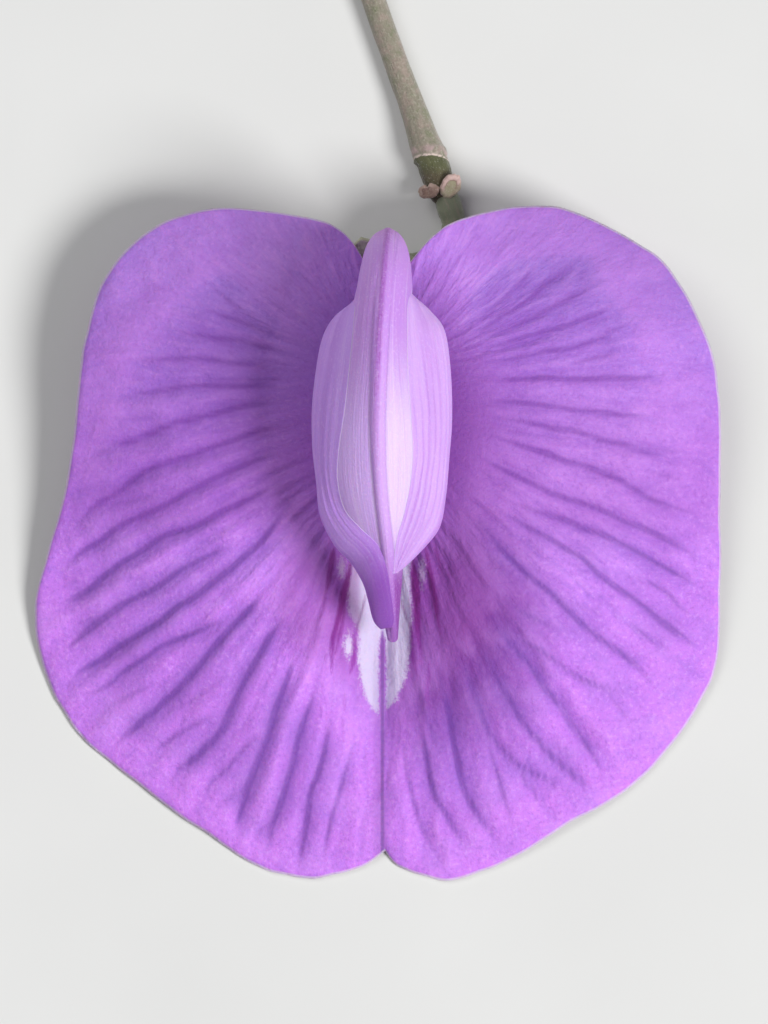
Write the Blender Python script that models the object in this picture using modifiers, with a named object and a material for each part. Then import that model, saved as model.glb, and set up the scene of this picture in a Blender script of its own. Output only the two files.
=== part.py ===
# Spurred butterfly pea flower, picked with its stem and laid face up on a surface.
# The petals are thin closed shells, the stalks solid. Lengths below are millimetres.
import math

import bmesh
import bpy
from mathutils import Euler, Vector

MM = 0.001

# The flower's own frame: x to its right, y up to its stem, z out of its face.
# It lies tilted, because the calyx behind the banner is deeper than the banner's edge.
TILT = math.radians(8.5)
LIFT = 5.6
SHIFT_X = 0.4
SHIFT_Y = -5.3

# Banner petal: its margin from the notch at the bottom to the gap at the top, left then right
LEFT_MARGIN = (
    (0.0, -23.1), (-1.4, -24.0), (-3.9, -24.5), (-6.4, -24.0), (-9.2, -22.3), (-12.8, -19.7),
    (-15.8, -17.2), (-17.5, -14.6), (-18.4, -11.0), (-17.8, -7.8), (-16.7, -3.8), (-16.1, 1.1),
    (-15.7, 4.0), (-14.5, 7.3), (-12.1, 9.6), (-8.9, 10.6), (-4.5, 10.2), (-2.6, 9.4), (-1.7, 8.3),
)
RIGHT_MARGIN = (
    (0.0, -23.1), (0.9, -24.0), (3.4, -24.6), (6.2, -23.7), (9.6, -21.7), (13.2, -19.5),
    (15.7, -16.6), (17.3, -13.6), (17.6, -9.6), (17.6, -5.7), (17.6, -0.6), (17.2, 2.9),
    (15.4, 6.8), (13.4, 8.7), (9.7, 10.5), (7.1, 10.7), (4.2, 10.1), (2.8, 9.2), (1.9, 8.1),
)
CLAW_TIP = ((-0.62, 6.6), (-0.31, 6.7), (0.0, 6.7), (0.31, 6.7), (0.62, 6.6))
SIDE_RAYS = 36
RINGS = 13
BANNER_WALL = 0.3
HALF_SPAN = 18.0
TOP_SPAN = 10.7
BOTTOM_SPAN = 15.5
BOTTOM_START = -9.0
CREASE_DEPTH = 2.4
CREASE_REACH = 3.2
CREASE_ROUNDING = 0.15
NOTCH_FADE = (-14.0, -23.1, 0.75)
CLAW_FADE = (0.0, 7.0, 0.4)
SIDE_FALL = 3.2
TOP_FALL = 2.2
TOP_FALL_SIDES = (1.5, 8.0)
BOTTOM_FALL = 1.5
CLAW_START = 4.5
CLAW_RISE = 0.40
CLAW_DIVE = 0.85
SPUR_DEPTH = 1.2
SPUR_PLACE = 2.4
SPUR_RADIUS = 0.6

# Keel: its ridge from the calyx to the tip as x, y, z, then half width left, right, and depth
KEEL_STATIONS = (
    (0.0, 7.3, -3.1, 0.35, 0.35, 0.15),
    (0.1, 8.05, -1.3, 0.75, 0.75, 0.60),
    (0.16, 9.35, 1.0, 1.2, 1.2, 2.1),
    (0.1, 9.0, 3.3, 1.3, 1.3, 2.6),
    (0.0, 7.6, 5.2, 1.3, 1.3, 2.6),
    (-0.2, 5.2, 6.4, 1.35, 1.25, 2.6),
    (-0.38, 2.2, 7.0, 1.5, 1.6, 2.7),
    (-0.45, -1.0, 6.9, 1.85, 1.95, 2.8),
    (-0.3, -4.2, 6.1, 1.95, 1.65, 2.6),
    (0.05, -7.2, 4.6, 1.15, 0.9, 1.9),
    (0.3, -9.8, 2.7, 0.6, 0.5, 0.9),
    (0.4, -12.1, 0.6, 0.3, 0.3, 0.35),
)
KEEL_WALL = 0.25
KEEL_LENGTHS = 30
KEEL_WIDTHS = 12

# Wings: inner edge x, y, z and outer edge x, y, z, from the claw in the calyx to the tip
LEFT_WING = (
    (-0.80, 7.2, -2.7, -0.82, 6.85, -2.7),
    (-0.80, 7.1, -0.8, -0.88, 6.6, -0.9),
    (-1.00, 6.3, 1.2, -1.20, 5.8, 1.1),
    (-1.45, 5.5, 2.7, -2.00, 5.2, 2.1),
    (-1.90, 5.0, 4.3, -2.75, 4.7, 2.3),
    (-1.90, 4.0, 5.3, -3.20, 3.8, 2.3),
    (-2.05, 2.0, 5.7, -3.60, 1.8, 2.3),
    (-2.45, -0.8, 5.5, -3.80, -0.9, 2.2),
    (-2.45, -3.0, 5.2, -3.65, -2.9, 2.2),
    (-2.05, -4.8, 5.1, -3.45, -5.0, 2.2),
    (-1.15, -6.4, 5.3, -2.70, -7.0, 2.4),
    (-0.35, -8.2, 4.7, -1.25, -8.8, 2.6),
    (0.20, -10.4, 3.1, -0.70, -10.4, 2.2),
    (0.25, -11.5, 2.2, -0.10, -11.55, 2.0),
)
RIGHT_WING = (
    (0.80, 7.2, -2.7, 0.82, 6.85, -2.7),
    (0.80, 7.1, -0.8, 0.88, 6.6, -0.9),
    (1.00, 6.3, 1.2, 1.20, 5.8, 1.1),
    (1.35, 5.5, 2.7, 1.90, 5.2, 2.1),
    (1.45, 5.0, 4.3, 2.55, 4.7, 2.3),
    (1.40, 4.0, 5.3, 3.05, 3.9, 2.4),
    (1.45, 2.0, 5.7, 3.40, 1.8, 2.4),
    (1.70, -0.8, 5.5, 3.50, -0.9, 2.3),
    (1.60, -3.0, 5.3, 3.35, -2.9, 2.3),
    (1.25, -4.8, 5.3, 3.10, -5.0, 2.3),
    (0.75, -6.2, 5.4, 2.50, -6.8, 2.5),
    (0.50, -7.4, 5.1, 1.50, -7.8, 3.2),
    (0.55, -8.6, 4.4, 0.85, -8.7, 4.0),
)
WING_WALL = 0.25
WING_CROWN = 0.45
WING_CROWN_WAY = (0.6, 0.8)
WING_CROWN_START = (0.12, 0.35)
WING_CROWN_END = (1.0, 0.75)
WING_LENGTHS = 28
WING_WIDTHS = 6

# Calyx: a cup turned about its own axis, with five teeth as angle, length and flare
CALYX_BASE = (0.6, 7.25, -5.65)
CALYX_LEAN = (math.radians(22.0), math.radians(-15.0), 0.0)
CALYX_PROFILE = ((0.0, 0.0), (0.75, 0.05), (1.45, 0.55), (1.95, 1.5), (2.15, 2.8))
CALYX_WALL = 0.3
CALYX_TEETH = (
    (111.0, 1.5, 55.0), (183.0, 1.2, 85.0), (255.0, 1.3, 70.0), (327.0, 1.3, 80.0), (39.0, 1.0, 88.0),
)
TOOTH_HALF_ANGLE = 34.0
TOOTH_ROOT = 0.15
TOOTH_CURL = 0.3
CUP_SHARE = 0.6
CALYX_SIDES = 45
CALYX_RISE = 10

# Bracteoles: two leaflets around the calyx, as radius and height along their middle
BRACTEOLE_LINE = ((1.45, -0.15), (2.1, 0.45), (2.52, 1.3), (2.62, 2.35))
BRACTEOLE_HALF_WIDTH = 1.35
BRACTEOLE_TIP = 0.12
BRACTEOLE_WALL = 0.22
BRACTEOLE_WIDTHS = 6
BRACTEOLE_LENGTHS = 10
BRACTEOLE_ANGLES = {"bracteole_left": 150.0, "bracteole_right": -20.0}

# Stalks: x and y in the flower's frame, radius, and height of the axis above the surface
PEDICEL = (
    (1.05, 7.7, 0.5, 0.62), (2.0, 7.9, 0.52, 0.62), (3.05, 8.6, 0.55, 0.63),
    (3.6, 9.7, 0.6, 0.68), (3.3, 10.9, 0.68, 0.76),
)
PEDUNCLE = (
    (3.0, 11.4, 0.66, 0.76), (2.84, 12.0, 0.74, 0.82), (2.64, 12.6, 0.78, 0.9), (2.44, 13.15, 0.9, 0.94),
    (2.14, 13.9, 0.84, 0.86), (1.82, 14.9, 0.75, 0.77), (1.41, 16.1, 0.68, 0.7), (0.4, 18.8, 0.63, 0.65),
    (-0.52, 21.4, 0.62, 0.64), (-1.9, 25.5, 0.62, 0.64), (-2.9, 29.5, 0.61, 0.63), (-3.4, 33.5, 0.6, 0.62),
)
STALK_STEPS = 5
BRACTS = {
    "bract_left": ((2.22, 11.5), 1.48, (0.47, 0.34, 0.2), math.radians(-44.0)),
    "bract_right": ((3.44, 11.8), 1.85, (0.5, 0.64, 0.28), math.radians(27.0)),
}

# Stamens and pistil: one line inside the keel, from the calyx to under the keel's front
CORE_LINE = (
    (0.25, 6.8, -4.3), (0.05, 6.45, -3.0), (0.05, 6.8, -1.0), (0.12, 7.25, 1.2), (0.1, 6.7, 3.0),
    (-0.1, 4.9, 4.2), (-0.35, 2.2, 4.8), (-0.45, -0.8, 4.8), (-0.35, -3.4, 4.45),
)
SHEATH_RADIUS = 0.42
SHEATH_WALL = 0.14
SHEATH_OPEN = math.radians(50.0)
SHEATH_SIDES = 10
SHEATH_LENGTHS = 28
PISTIL_RADIUS = 0.13
FREE_STAMEN_RADIUS = 0.1
FREE_STAMEN_OFFSET = 0.5
CORE_POINTS = 16
CORE_STEPS = 2
SIDEWAYS = Vector((1.0, 0.0, 0.0))

COLLECTION = "spurred_butterfly_pea_flower"
LINE_STEP = 0.02

# Colour and roughness of each finish
FINISHES = {
    "banner_violet": ((0.45, 0.13, 0.56), 0.6),
    "wing_violet": ((0.52, 0.22, 0.66), 0.55),
    "keel_lilac": ((0.66, 0.42, 0.78), 0.5),
    "calyx_green": ((0.27, 0.33, 0.11), 0.6),
    "stem_grey_green": ((0.25, 0.25, 0.15), 0.7),
    "bract_buff": ((0.45, 0.30, 0.24), 0.75),
    "stamen_cream": ((0.75, 0.70, 0.52), 0.6),
}


# Smooth curve through stations of any width, place running from 0 to 1
def along(stations, place):
    spans = len(stations) - 1
    reach = min(max(place, 0.0), 1.0) * spans
    first = min(int(reach), spans - 1)
    f = reach - first
    before = stations[max(first - 1, 0)]
    start = stations[first]
    end = stations[first + 1]
    after = stations[min(first + 2, spans)]
    return tuple(
        b + 0.5 * f * (c - a + f * (2 * a - 5 * b + 4 * c - d + f * (3 * b - a - 3 * c + d)))
        for a, b, c, d in zip(before, start, end, after)
    )


# Direction of a line at a place on it, from a point a little before to one a little after
def direction(line, place):
    return line(min(place + LINE_STEP, 1.0)) - line(max(place - LINE_STEP, 0.0))


def smooth_step(low, high, value):
    share = min(max((value - low) / (high - low), 0.0), 1.0)
    return share * share * (3.0 - 2.0 * share)


# Height that a point of the flower's frame needs to lie at a given height over the surface
def drop_to(y, height):
    return (height - LIFT - y * math.sin(TILT)) / math.cos(TILT)


def finish_material(name):
    colour, roughness = FINISHES[name]
    material = bpy.data.materials.new(name)
    material.use_nodes = True
    shader = material.node_tree.nodes["Principled BSDF"]
    shader.inputs["Base Color"].default_value = (*colour, 1.0)
    shader.inputs["Roughness"].default_value = roughness
    shader.inputs["Metallic"].default_value = 0.0
    return material


# Writes a bmesh as one named object, its millimetres made metres
def add_part(name, mesh_data, finish, parent):
    bmesh.ops.scale(mesh_data, vec=(MM, MM, MM), verts=mesh_data.verts)
    mesh = bpy.data.meshes.new(name)
    mesh_data.to_mesh(mesh)
    mesh_data.free()
    mesh.shade_smooth()
    mesh.materials.append(materials[finish])
    part = bpy.data.objects.new(name, mesh)
    part.parent = parent
    collection.objects.link(part)
    return part


def give_thickness(part, wall):
    solid = part.modifiers.new("thickness", "SOLIDIFY")
    solid.thickness = wall * MM
    solid.offset = 0.0
    solid.use_even_offset = False


# Bends a flat grid into a sheet: place is called with shares across and along, each 0 to 1
def sheet(across, lengths, place):
    grid = bmesh.new()
    bmesh.ops.create_grid(grid, x_segments=across, y_segments=lengths, size=0.5)
    for vert in grid.verts:
        vert.co = place(vert.co.x + 0.5, vert.co.y + 0.5)
    bmesh.ops.remove_doubles(grid, verts=grid.verts, dist=0.0005)
    bmesh.ops.recalc_face_normals(grid, faces=grid.faces)
    return grid


# Face of the banner: two swelling halves that meet in a crease, and edges that curve back
def banner_height(x, y):
    side = math.hypot(x, CREASE_ROUNDING)
    crease = 1.0
    for start, end, share in (NOTCH_FADE, CLAW_FADE):
        crease -= share * smooth_step(start, end, y)
    height = -CREASE_DEPTH * crease * math.exp(-side / CREASE_REACH)
    height -= SIDE_FALL * (side / HALF_SPAN) ** 2
    height -= TOP_FALL * smooth_step(*TOP_FALL_SIDES, side) * (max(y, 0.0) / TOP_SPAN) ** 2
    height -= BOTTOM_FALL * (max(BOTTOM_START - y, 0.0) / BOTTOM_SPAN) ** 2
    height -= SPUR_DEPTH * math.exp(-(x * x + (y - SPUR_PLACE) ** 2) / SPUR_RADIUS**2)
    return height


def banner_margin(ray):
    if ray <= SIDE_RAYS:
        return along(LEFT_MARGIN, ray / SIDE_RAYS), False
    ray -= SIDE_RAYS + 1
    if ray < len(CLAW_TIP):
        return CLAW_TIP[ray], True
    ray -= len(CLAW_TIP)
    return along(RIGHT_MARGIN, 1.0 - ray / SIDE_RAYS), False


def build_banner(parent):
    rays = 2 * SIDE_RAYS + len(CLAW_TIP) + 1

    def place(around, out):
        (edge_x, edge_y), on_claw = banner_margin(round(around * rays))
        x = edge_x * out
        y = edge_y * out
        z = banner_height(x, y)
        beyond = max(y - CLAW_START, 0.0)
        if on_claw and beyond > 0.0:
            z = banner_height(x, CLAW_START) - CLAW_DIVE * beyond
            y = CLAW_START + CLAW_RISE * beyond
        return x, y, z

    grid = sheet(rays, RINGS, place)
    part = add_part("standard_petal", grid, "banner_violet", parent)
    give_thickness(part, BANNER_WALL)


# Keel: a boat bent in an arch, its section an open curve across the ridge line
def build_keel(parent):
    def ridge(place):
        return Vector(along(KEEL_STATIONS, place)[:3])

    def place(across, length):
        x, y, z, left, right, depth = along(KEEL_STATIONS, length)
        ahead = direction(ridge, length)
        inward = Vector((0.0, -ahead.z, ahead.y)).normalized()
        turn = (across - 0.5) * math.pi
        reach = right if turn > 0.0 else left
        bow = Vector((reach * math.sin(turn), 0.0, 0.0))
        return Vector((x, y, z)) + bow + inward * depth * (1.0 - math.cos(turn))

    grid = sheet(KEEL_WIDTHS, KEEL_LENGTHS, place)
    part = add_part("keel", grid, "keel_lilac", parent)
    give_thickness(part, KEEL_WALL)


# Wing: a sheet stretched between its inner and its outer edge, crowned between them
def build_wing(name, stations, parent):
    def place(across, length):
        row = along(stations, length)
        inner = Vector(row[:3])
        outer = Vector(row[3:])
        point = inner.lerp(outer, across)
        crown = WING_CROWN * 4.0 * across * (1.0 - across)
        crown *= smooth_step(*WING_CROWN_START, length) * smooth_step(*WING_CROWN_END, length)
        side = -1.0 if outer.x < inner.x else 1.0
        return point + Vector((WING_CROWN_WAY[0] * side, 0.0, WING_CROWN_WAY[1])) * crown

    grid = sheet(WING_WIDTHS, WING_LENGTHS, place)
    part = add_part(name, grid, "wing_violet", parent)
    give_thickness(part, WING_WALL)


def tooth_at(angle):
    for middle, length, flare in CALYX_TEETH:
        away = abs((angle - middle + 180.0) % 360.0 - 180.0)
        if away < TOOTH_HALF_ANGLE:
            return TOOTH_ROOT + length * (1.0 - away / TOOTH_HALF_ANGLE), math.radians(flare)
    return TOOTH_ROOT, 0.0


def build_calyx(holder):
    def place(around, rise):
        angle = 360.0 * around
        radius, height = along(CALYX_PROFILE, rise / CUP_SHARE)
        if rise > CUP_SHARE:
            length, flare = tooth_at(angle)
            share = (rise - CUP_SHARE) / (1.0 - CUP_SHARE)
            radius += length * share * math.sin(flare) * min(share + TOOTH_CURL, 1.0)
            height += length * share * math.cos(flare)
        turn = math.radians(angle)
        return radius * math.cos(turn), radius * math.sin(turn), height

    grid = sheet(CALYX_SIDES, CALYX_RISE, place)
    part = add_part("calyx", grid, "calyx_green", holder)
    give_thickness(part, CALYX_WALL)


def build_bracteoles(holder):
    for name, middle in BRACTEOLE_ANGLES.items():

        def place(across, length, middle=middle):
            radius, height = along(BRACTEOLE_LINE, length)
            half = BRACTEOLE_TIP + BRACTEOLE_HALF_WIDTH * math.sin(math.pi * length**0.7) ** 0.8
            turn = math.radians(middle) + (2.0 * across - 1.0) * half / radius
            return radius * math.cos(turn), radius * math.sin(turn), height

        part = add_part(name, sheet(BRACTEOLE_WIDTHS, BRACTEOLE_LENGTHS, place), "calyx_green", holder)
        give_thickness(part, BRACTEOLE_WALL)


# Round stalk along a smooth line, as a curve whose radius changes from point to point
def add_stalk(name, points, finish, parent, steps):
    count = (len(points) - 1) * steps + 1
    curve = bpy.data.curves.new(name, "CURVE")
    curve.dimensions = "3D"
    curve.bevel_depth = MM
    curve.bevel_resolution = 4
    curve.use_fill_caps = True
    curve.materials.append(materials[finish])
    line = curve.splines.new("POLY")
    line.points.add(count - 1)
    for number, point in enumerate(line.points):
        x, y, z, radius = along(points, number / (count - 1))
        point.co = (x * MM, y * MM, z * MM, 1.0)
        point.radius = radius
    part = bpy.data.objects.new(name, curve)
    part.parent = parent
    collection.objects.link(part)


def build_stalks(parent):
    for name, points in (("pedicel", PEDICEL), ("peduncle", PEDUNCLE)):
        lying = [(x, y, drop_to(y, height), radius) for x, y, radius, height in points]
        add_stalk(name, lying, "stem_grey_green", parent, STALK_STEPS)


def build_bracts(parent):
    for name, ((x, y), height, size, turn) in BRACTS.items():
        ball = bmesh.new()
        bmesh.ops.create_uvsphere(ball, u_segments=16, v_segments=10, radius=1.0)
        bmesh.ops.scale(ball, vec=size, verts=ball.verts)
        part = add_part(name, ball, "bract_buff", parent)
        part.location = Vector((x, y, drop_to(y, height))) * MM
        part.rotation_euler = (0.0, turn, 0.0)


# Inside the keel: a trough of joined stamens, the pistil in it, and the free stamen over its slit
def core_point(place):
    return Vector(along(CORE_LINE, place))


def core_slit(place):
    return direction(core_point, place).cross(SIDEWAYS).normalized()


def build_core(parent):
    def place(around, length):
        turn = SHEATH_OPEN + (2.0 * math.pi - 2.0 * SHEATH_OPEN) * around
        spoke = math.cos(turn) * core_slit(length) + math.sin(turn) * SIDEWAYS
        return core_point(length) + SHEATH_RADIUS * spoke

    grid = sheet(SHEATH_SIDES, SHEATH_LENGTHS, place)
    part = add_part("staminal_sheath", grid, "stamen_cream", parent)
    give_thickness(part, SHEATH_WALL)
    places = [number / CORE_POINTS for number in range(CORE_POINTS + 1)]
    style = [(*core_point(place), PISTIL_RADIUS) for place in places]
    free = [
        (*(core_point(place) + FREE_STAMEN_OFFSET * core_slit(place)), FREE_STAMEN_RADIUS)
        for place in places[1:]
    ]
    add_stalk("pistil", style, "calyx_green", parent, CORE_STEPS)
    add_stalk("free_stamen", free, "stamen_cream", parent, CORE_STEPS)


def add_empty(name, location, rotation, parent):
    empty = bpy.data.objects.new(name, None)
    empty.location = Vector(location) * MM
    empty.rotation_euler = Euler(rotation)
    empty.parent = parent
    collection.objects.link(empty)
    return empty


for old in list(bpy.data.objects):
    bpy.data.objects.remove(old)
collection = bpy.data.collections.new(COLLECTION)
bpy.context.scene.collection.children.link(collection)
materials = {name: finish_material(name) for name in FINISHES}

flower = add_empty("flower_lying", (SHIFT_X, SHIFT_Y, LIFT), (TILT, 0.0, 0.0), None)
cup = add_empty("calyx_axis", CALYX_BASE, CALYX_LEAN, flower)
build_banner(flower)
build_keel(flower)
build_wing("wing_left", LEFT_WING, flower)
build_wing("wing_right", RIGHT_WING, flower)
build_calyx(cup)
build_bracteoles(cup)
build_stalks(flower)
build_bracts(flower)
build_core(flower)
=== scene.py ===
# %% [markdown]
# A picked butterfly pea flower lies face up on a pale table, with its cut stem along the table.
# The solids that were built before hold its real size and weight. This lesson dresses them: each
# petal is remodelled as a thin living sheet, each stalk gets its skin, and a camera looks down on it.

# %% Load the frame
import math

import bmesh
import bpy
import numpy as np
from mathutils import Euler, Matrix, Vector
from mathutils.bvhtree import BVHTree


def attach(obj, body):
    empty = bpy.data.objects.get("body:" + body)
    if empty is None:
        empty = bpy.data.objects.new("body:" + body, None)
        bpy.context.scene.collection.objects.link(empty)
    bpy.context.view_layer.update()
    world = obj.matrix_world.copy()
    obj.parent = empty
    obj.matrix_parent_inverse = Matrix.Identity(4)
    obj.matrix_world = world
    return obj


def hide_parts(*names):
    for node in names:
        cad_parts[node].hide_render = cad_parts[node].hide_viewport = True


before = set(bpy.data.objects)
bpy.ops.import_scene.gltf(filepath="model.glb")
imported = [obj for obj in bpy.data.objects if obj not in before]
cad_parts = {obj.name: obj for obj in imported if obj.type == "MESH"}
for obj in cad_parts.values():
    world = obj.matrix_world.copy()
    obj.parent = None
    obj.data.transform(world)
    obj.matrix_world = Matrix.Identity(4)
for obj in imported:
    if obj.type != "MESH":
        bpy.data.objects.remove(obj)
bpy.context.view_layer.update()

print("solids:", sorted(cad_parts))

# %% [markdown]
# A flower is easiest to draw as its own face shows it: x to its right, y up towards the stem and z
# out of the face, in millimetres. The whole flower is then laid down at once, because the calyx
# behind the petals is deeper than their edges and tips the face by a few degrees.

# %% The flower's own frame
MM = 0.001
TILT = math.radians(8.5)
SHIFT = Vector((0.4, -5.3, 5.6))
lying_in_mm = Matrix.Translation(SHIFT) @ Matrix.Rotation(TILT, 4, "X")
lay_down = Matrix.Scale(MM, 4) @ lying_in_mm
face_up = lying_in_mm.to_3x3() @ Vector((0.0, 0.0, 1.0))


# Height above the face's zero plane of a point that lies so high over the table
def over_table(y, height):
    return (height - SHIFT.z - y * math.sin(TILT)) / math.cos(TILT)


print("face tilted", round(math.degrees(TILT), 1), "degrees, looking along", face_up.to_tuple(3))

# %% [markdown]
# Every outline here is a smooth curve through a few measured stations. A Catmull-Rom curve passes
# through its points, so a petal's margin can be read off and listed. The helper works on whole
# arrays of places at once, because a petal has tens of thousands of points.


# %% Smooth curves and soft steps
def through(stations, place):
    knots = np.array(stations, float)
    reach = np.clip(np.asarray(place, float), 0.0, 1.0) * (len(knots) - 1)
    first = np.minimum(reach.astype(int), len(knots) - 2)
    f = (reach - first)[..., None]
    a = knots[np.maximum(first - 1, 0)]
    b = knots[first]
    c = knots[first + 1]
    d = knots[np.minimum(first + 2, len(knots) - 1)]
    return b + 0.5 * f * (c - a + f * (2 * a - 5 * b + 4 * c - d + f * (3 * b - a - 3 * c + d)))


def soft_step(low, high, value):
    share = np.clip((np.asarray(value, float) - low) / (high - low), 0.0, 1.0)
    return share * share * (3.0 - 2.0 * share)


def bell(value, width):
    return np.exp(-((np.asarray(value, float) / width) ** 2))


TURN = 2.0 * math.pi
WAVE_SHARES = (1.0, 0.61, 0.37)


# Smooth random wave from -1 to 1 along a line, the same each run
def wander(value, length, seed):
    chance = np.random.default_rng(seed)
    total = np.zeros_like(np.asarray(value, float))
    for share in WAVE_SHARES:
        total = total + np.sin(TURN * (value / (length * share) + chance.random())) * share
    return total / sum(WAVE_SHARES)


# Distance of each place to a line of short steps, and its share along the line
def beside_line(x, y, line):
    best = np.full_like(x, np.inf)
    share = np.zeros_like(x)
    for number, ((ax, ay), (bx, by)) in enumerate(zip(line, line[1:])):
        dx, dy = bx - ax, by - ay
        part = np.clip(((x - ax) * dx + (y - ay) * dy) / (dx * dx + dy * dy), 0.0, 1.0)
        away = np.hypot(x - ax - part * dx, y - ay - part * dy)
        nearer = away < best
        best = np.where(nearer, away, best)
        share = np.where(nearer, (number + part) / (len(line) - 1), share)
    return best, share


print("halfway round a quarter circle:", through([(1, 0), (0.7, 0.7), (0, 1)], 0.5).round(2))

# %% [markdown]
# A petal is a sheet, so each one starts as a flat grid and every point of it is carried to its
# place. Sculpting by hand would not repeat, and a subdivision cage could not hold the furrows.
# Points that fall together are merged, the normals are turned to the face side, and a Solidify
# modifier gives the tissue its real thickness, with its own finish on the back and on the rim.
# Every later piece takes the same path, so one function also puts it on its body and in its place.


# %% From flat grid to piece
MERGE_GAP = 0.0004


def bend_grid(across, lengths, bend, marks=None):
    shape = bmesh.new()
    bmesh.ops.create_grid(shape, x_segments=across, y_segments=lengths, size=0.5)
    shape.verts.ensure_lookup_table()
    flat = np.array([vert.co[:2] for vert in shape.verts]) + 0.5
    u = np.clip(flat[:, 0], 0.0, 1.0)
    v = np.clip(flat[:, 1], 0.0, 1.0)
    points = bend(u, v)
    for vert, point in zip(shape.verts, points):
        vert.co = point
    found = marks(u, v, points) if marks else {"across": u, "length": v}
    for mark, values in found.items():
        layer = shape.verts.layers.float.new(mark)
        for vert, value in zip(shape.verts, values):
            vert[layer] = value
    bmesh.ops.remove_doubles(shape, verts=shape.verts, dist=MERGE_GAP)
    bmesh.ops.recalc_face_normals(shape, faces=shape.faces)
    return shape


# Turns the sheet's faces so that on the whole they look the way of the given direction
def look_towards(shape, direction):
    total = sum((face.normal * face.calc_area() for face in shape.faces), Vector())
    if total.dot(Vector(direction)) < 0.0:
        bmesh.ops.reverse_faces(shape, faces=shape.faces)


def keep_mesh(name, shape, materials):
    mesh = bpy.data.meshes.new(name)
    shape.to_mesh(mesh)
    shape.free()
    mesh.shade_smooth()
    for material in materials:
        mesh.materials.append(material)
    piece = bpy.data.objects.new(name, mesh)
    bpy.context.scene.collection.objects.link(piece)
    return piece


# Lays the shape down, gives it a wall if it is a sheet, and puts it in its solid's place
def settle(name, shape, materials, node, wall=0.0, offset=-1.0):
    bmesh.ops.transform(shape, matrix=lay_down, verts=shape.verts)
    piece = keep_mesh(name, shape, materials)
    if wall:
        tissue = piece.modifiers.new("tissue", "SOLIDIFY")
        tissue.thickness = wall * MM
        tissue.offset = offset
        tissue.material_offset = len(materials) - 2
        tissue.material_offset_rim = len(materials) - 1
    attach(piece, "root")
    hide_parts(node)
    seen = piece.evaluated_get(bpy.context.evaluated_depsgraph_get()).data
    seen.calc_loop_triangles()
    print(name, "has", len(seen.loop_triangles), "triangles")


trial = bend_grid(2, 2, lambda across, length: np.column_stack((across, length, across * length)))
print("a trial grid has", len(trial.faces), "faces")
trial.free()

# %% [markdown]
# A finish is a small network of nodes. Writing each network by hand takes many lines, so a recipe
# object holds the tree and has one short word for each kind of node. Positions come from Object
# coordinates, turned back into the flower's own millimetres, so a marking sits at a real place.


# %% A recipe for a finish
def paint(red, green, blue):
    def linear(value):
        share = value / 255.0
        return share / 12.92 if share <= 0.04045 else ((share + 0.055) / 1.055) ** 2.4

    return (linear(red), linear(green), linear(blue), 1.0)


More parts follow.
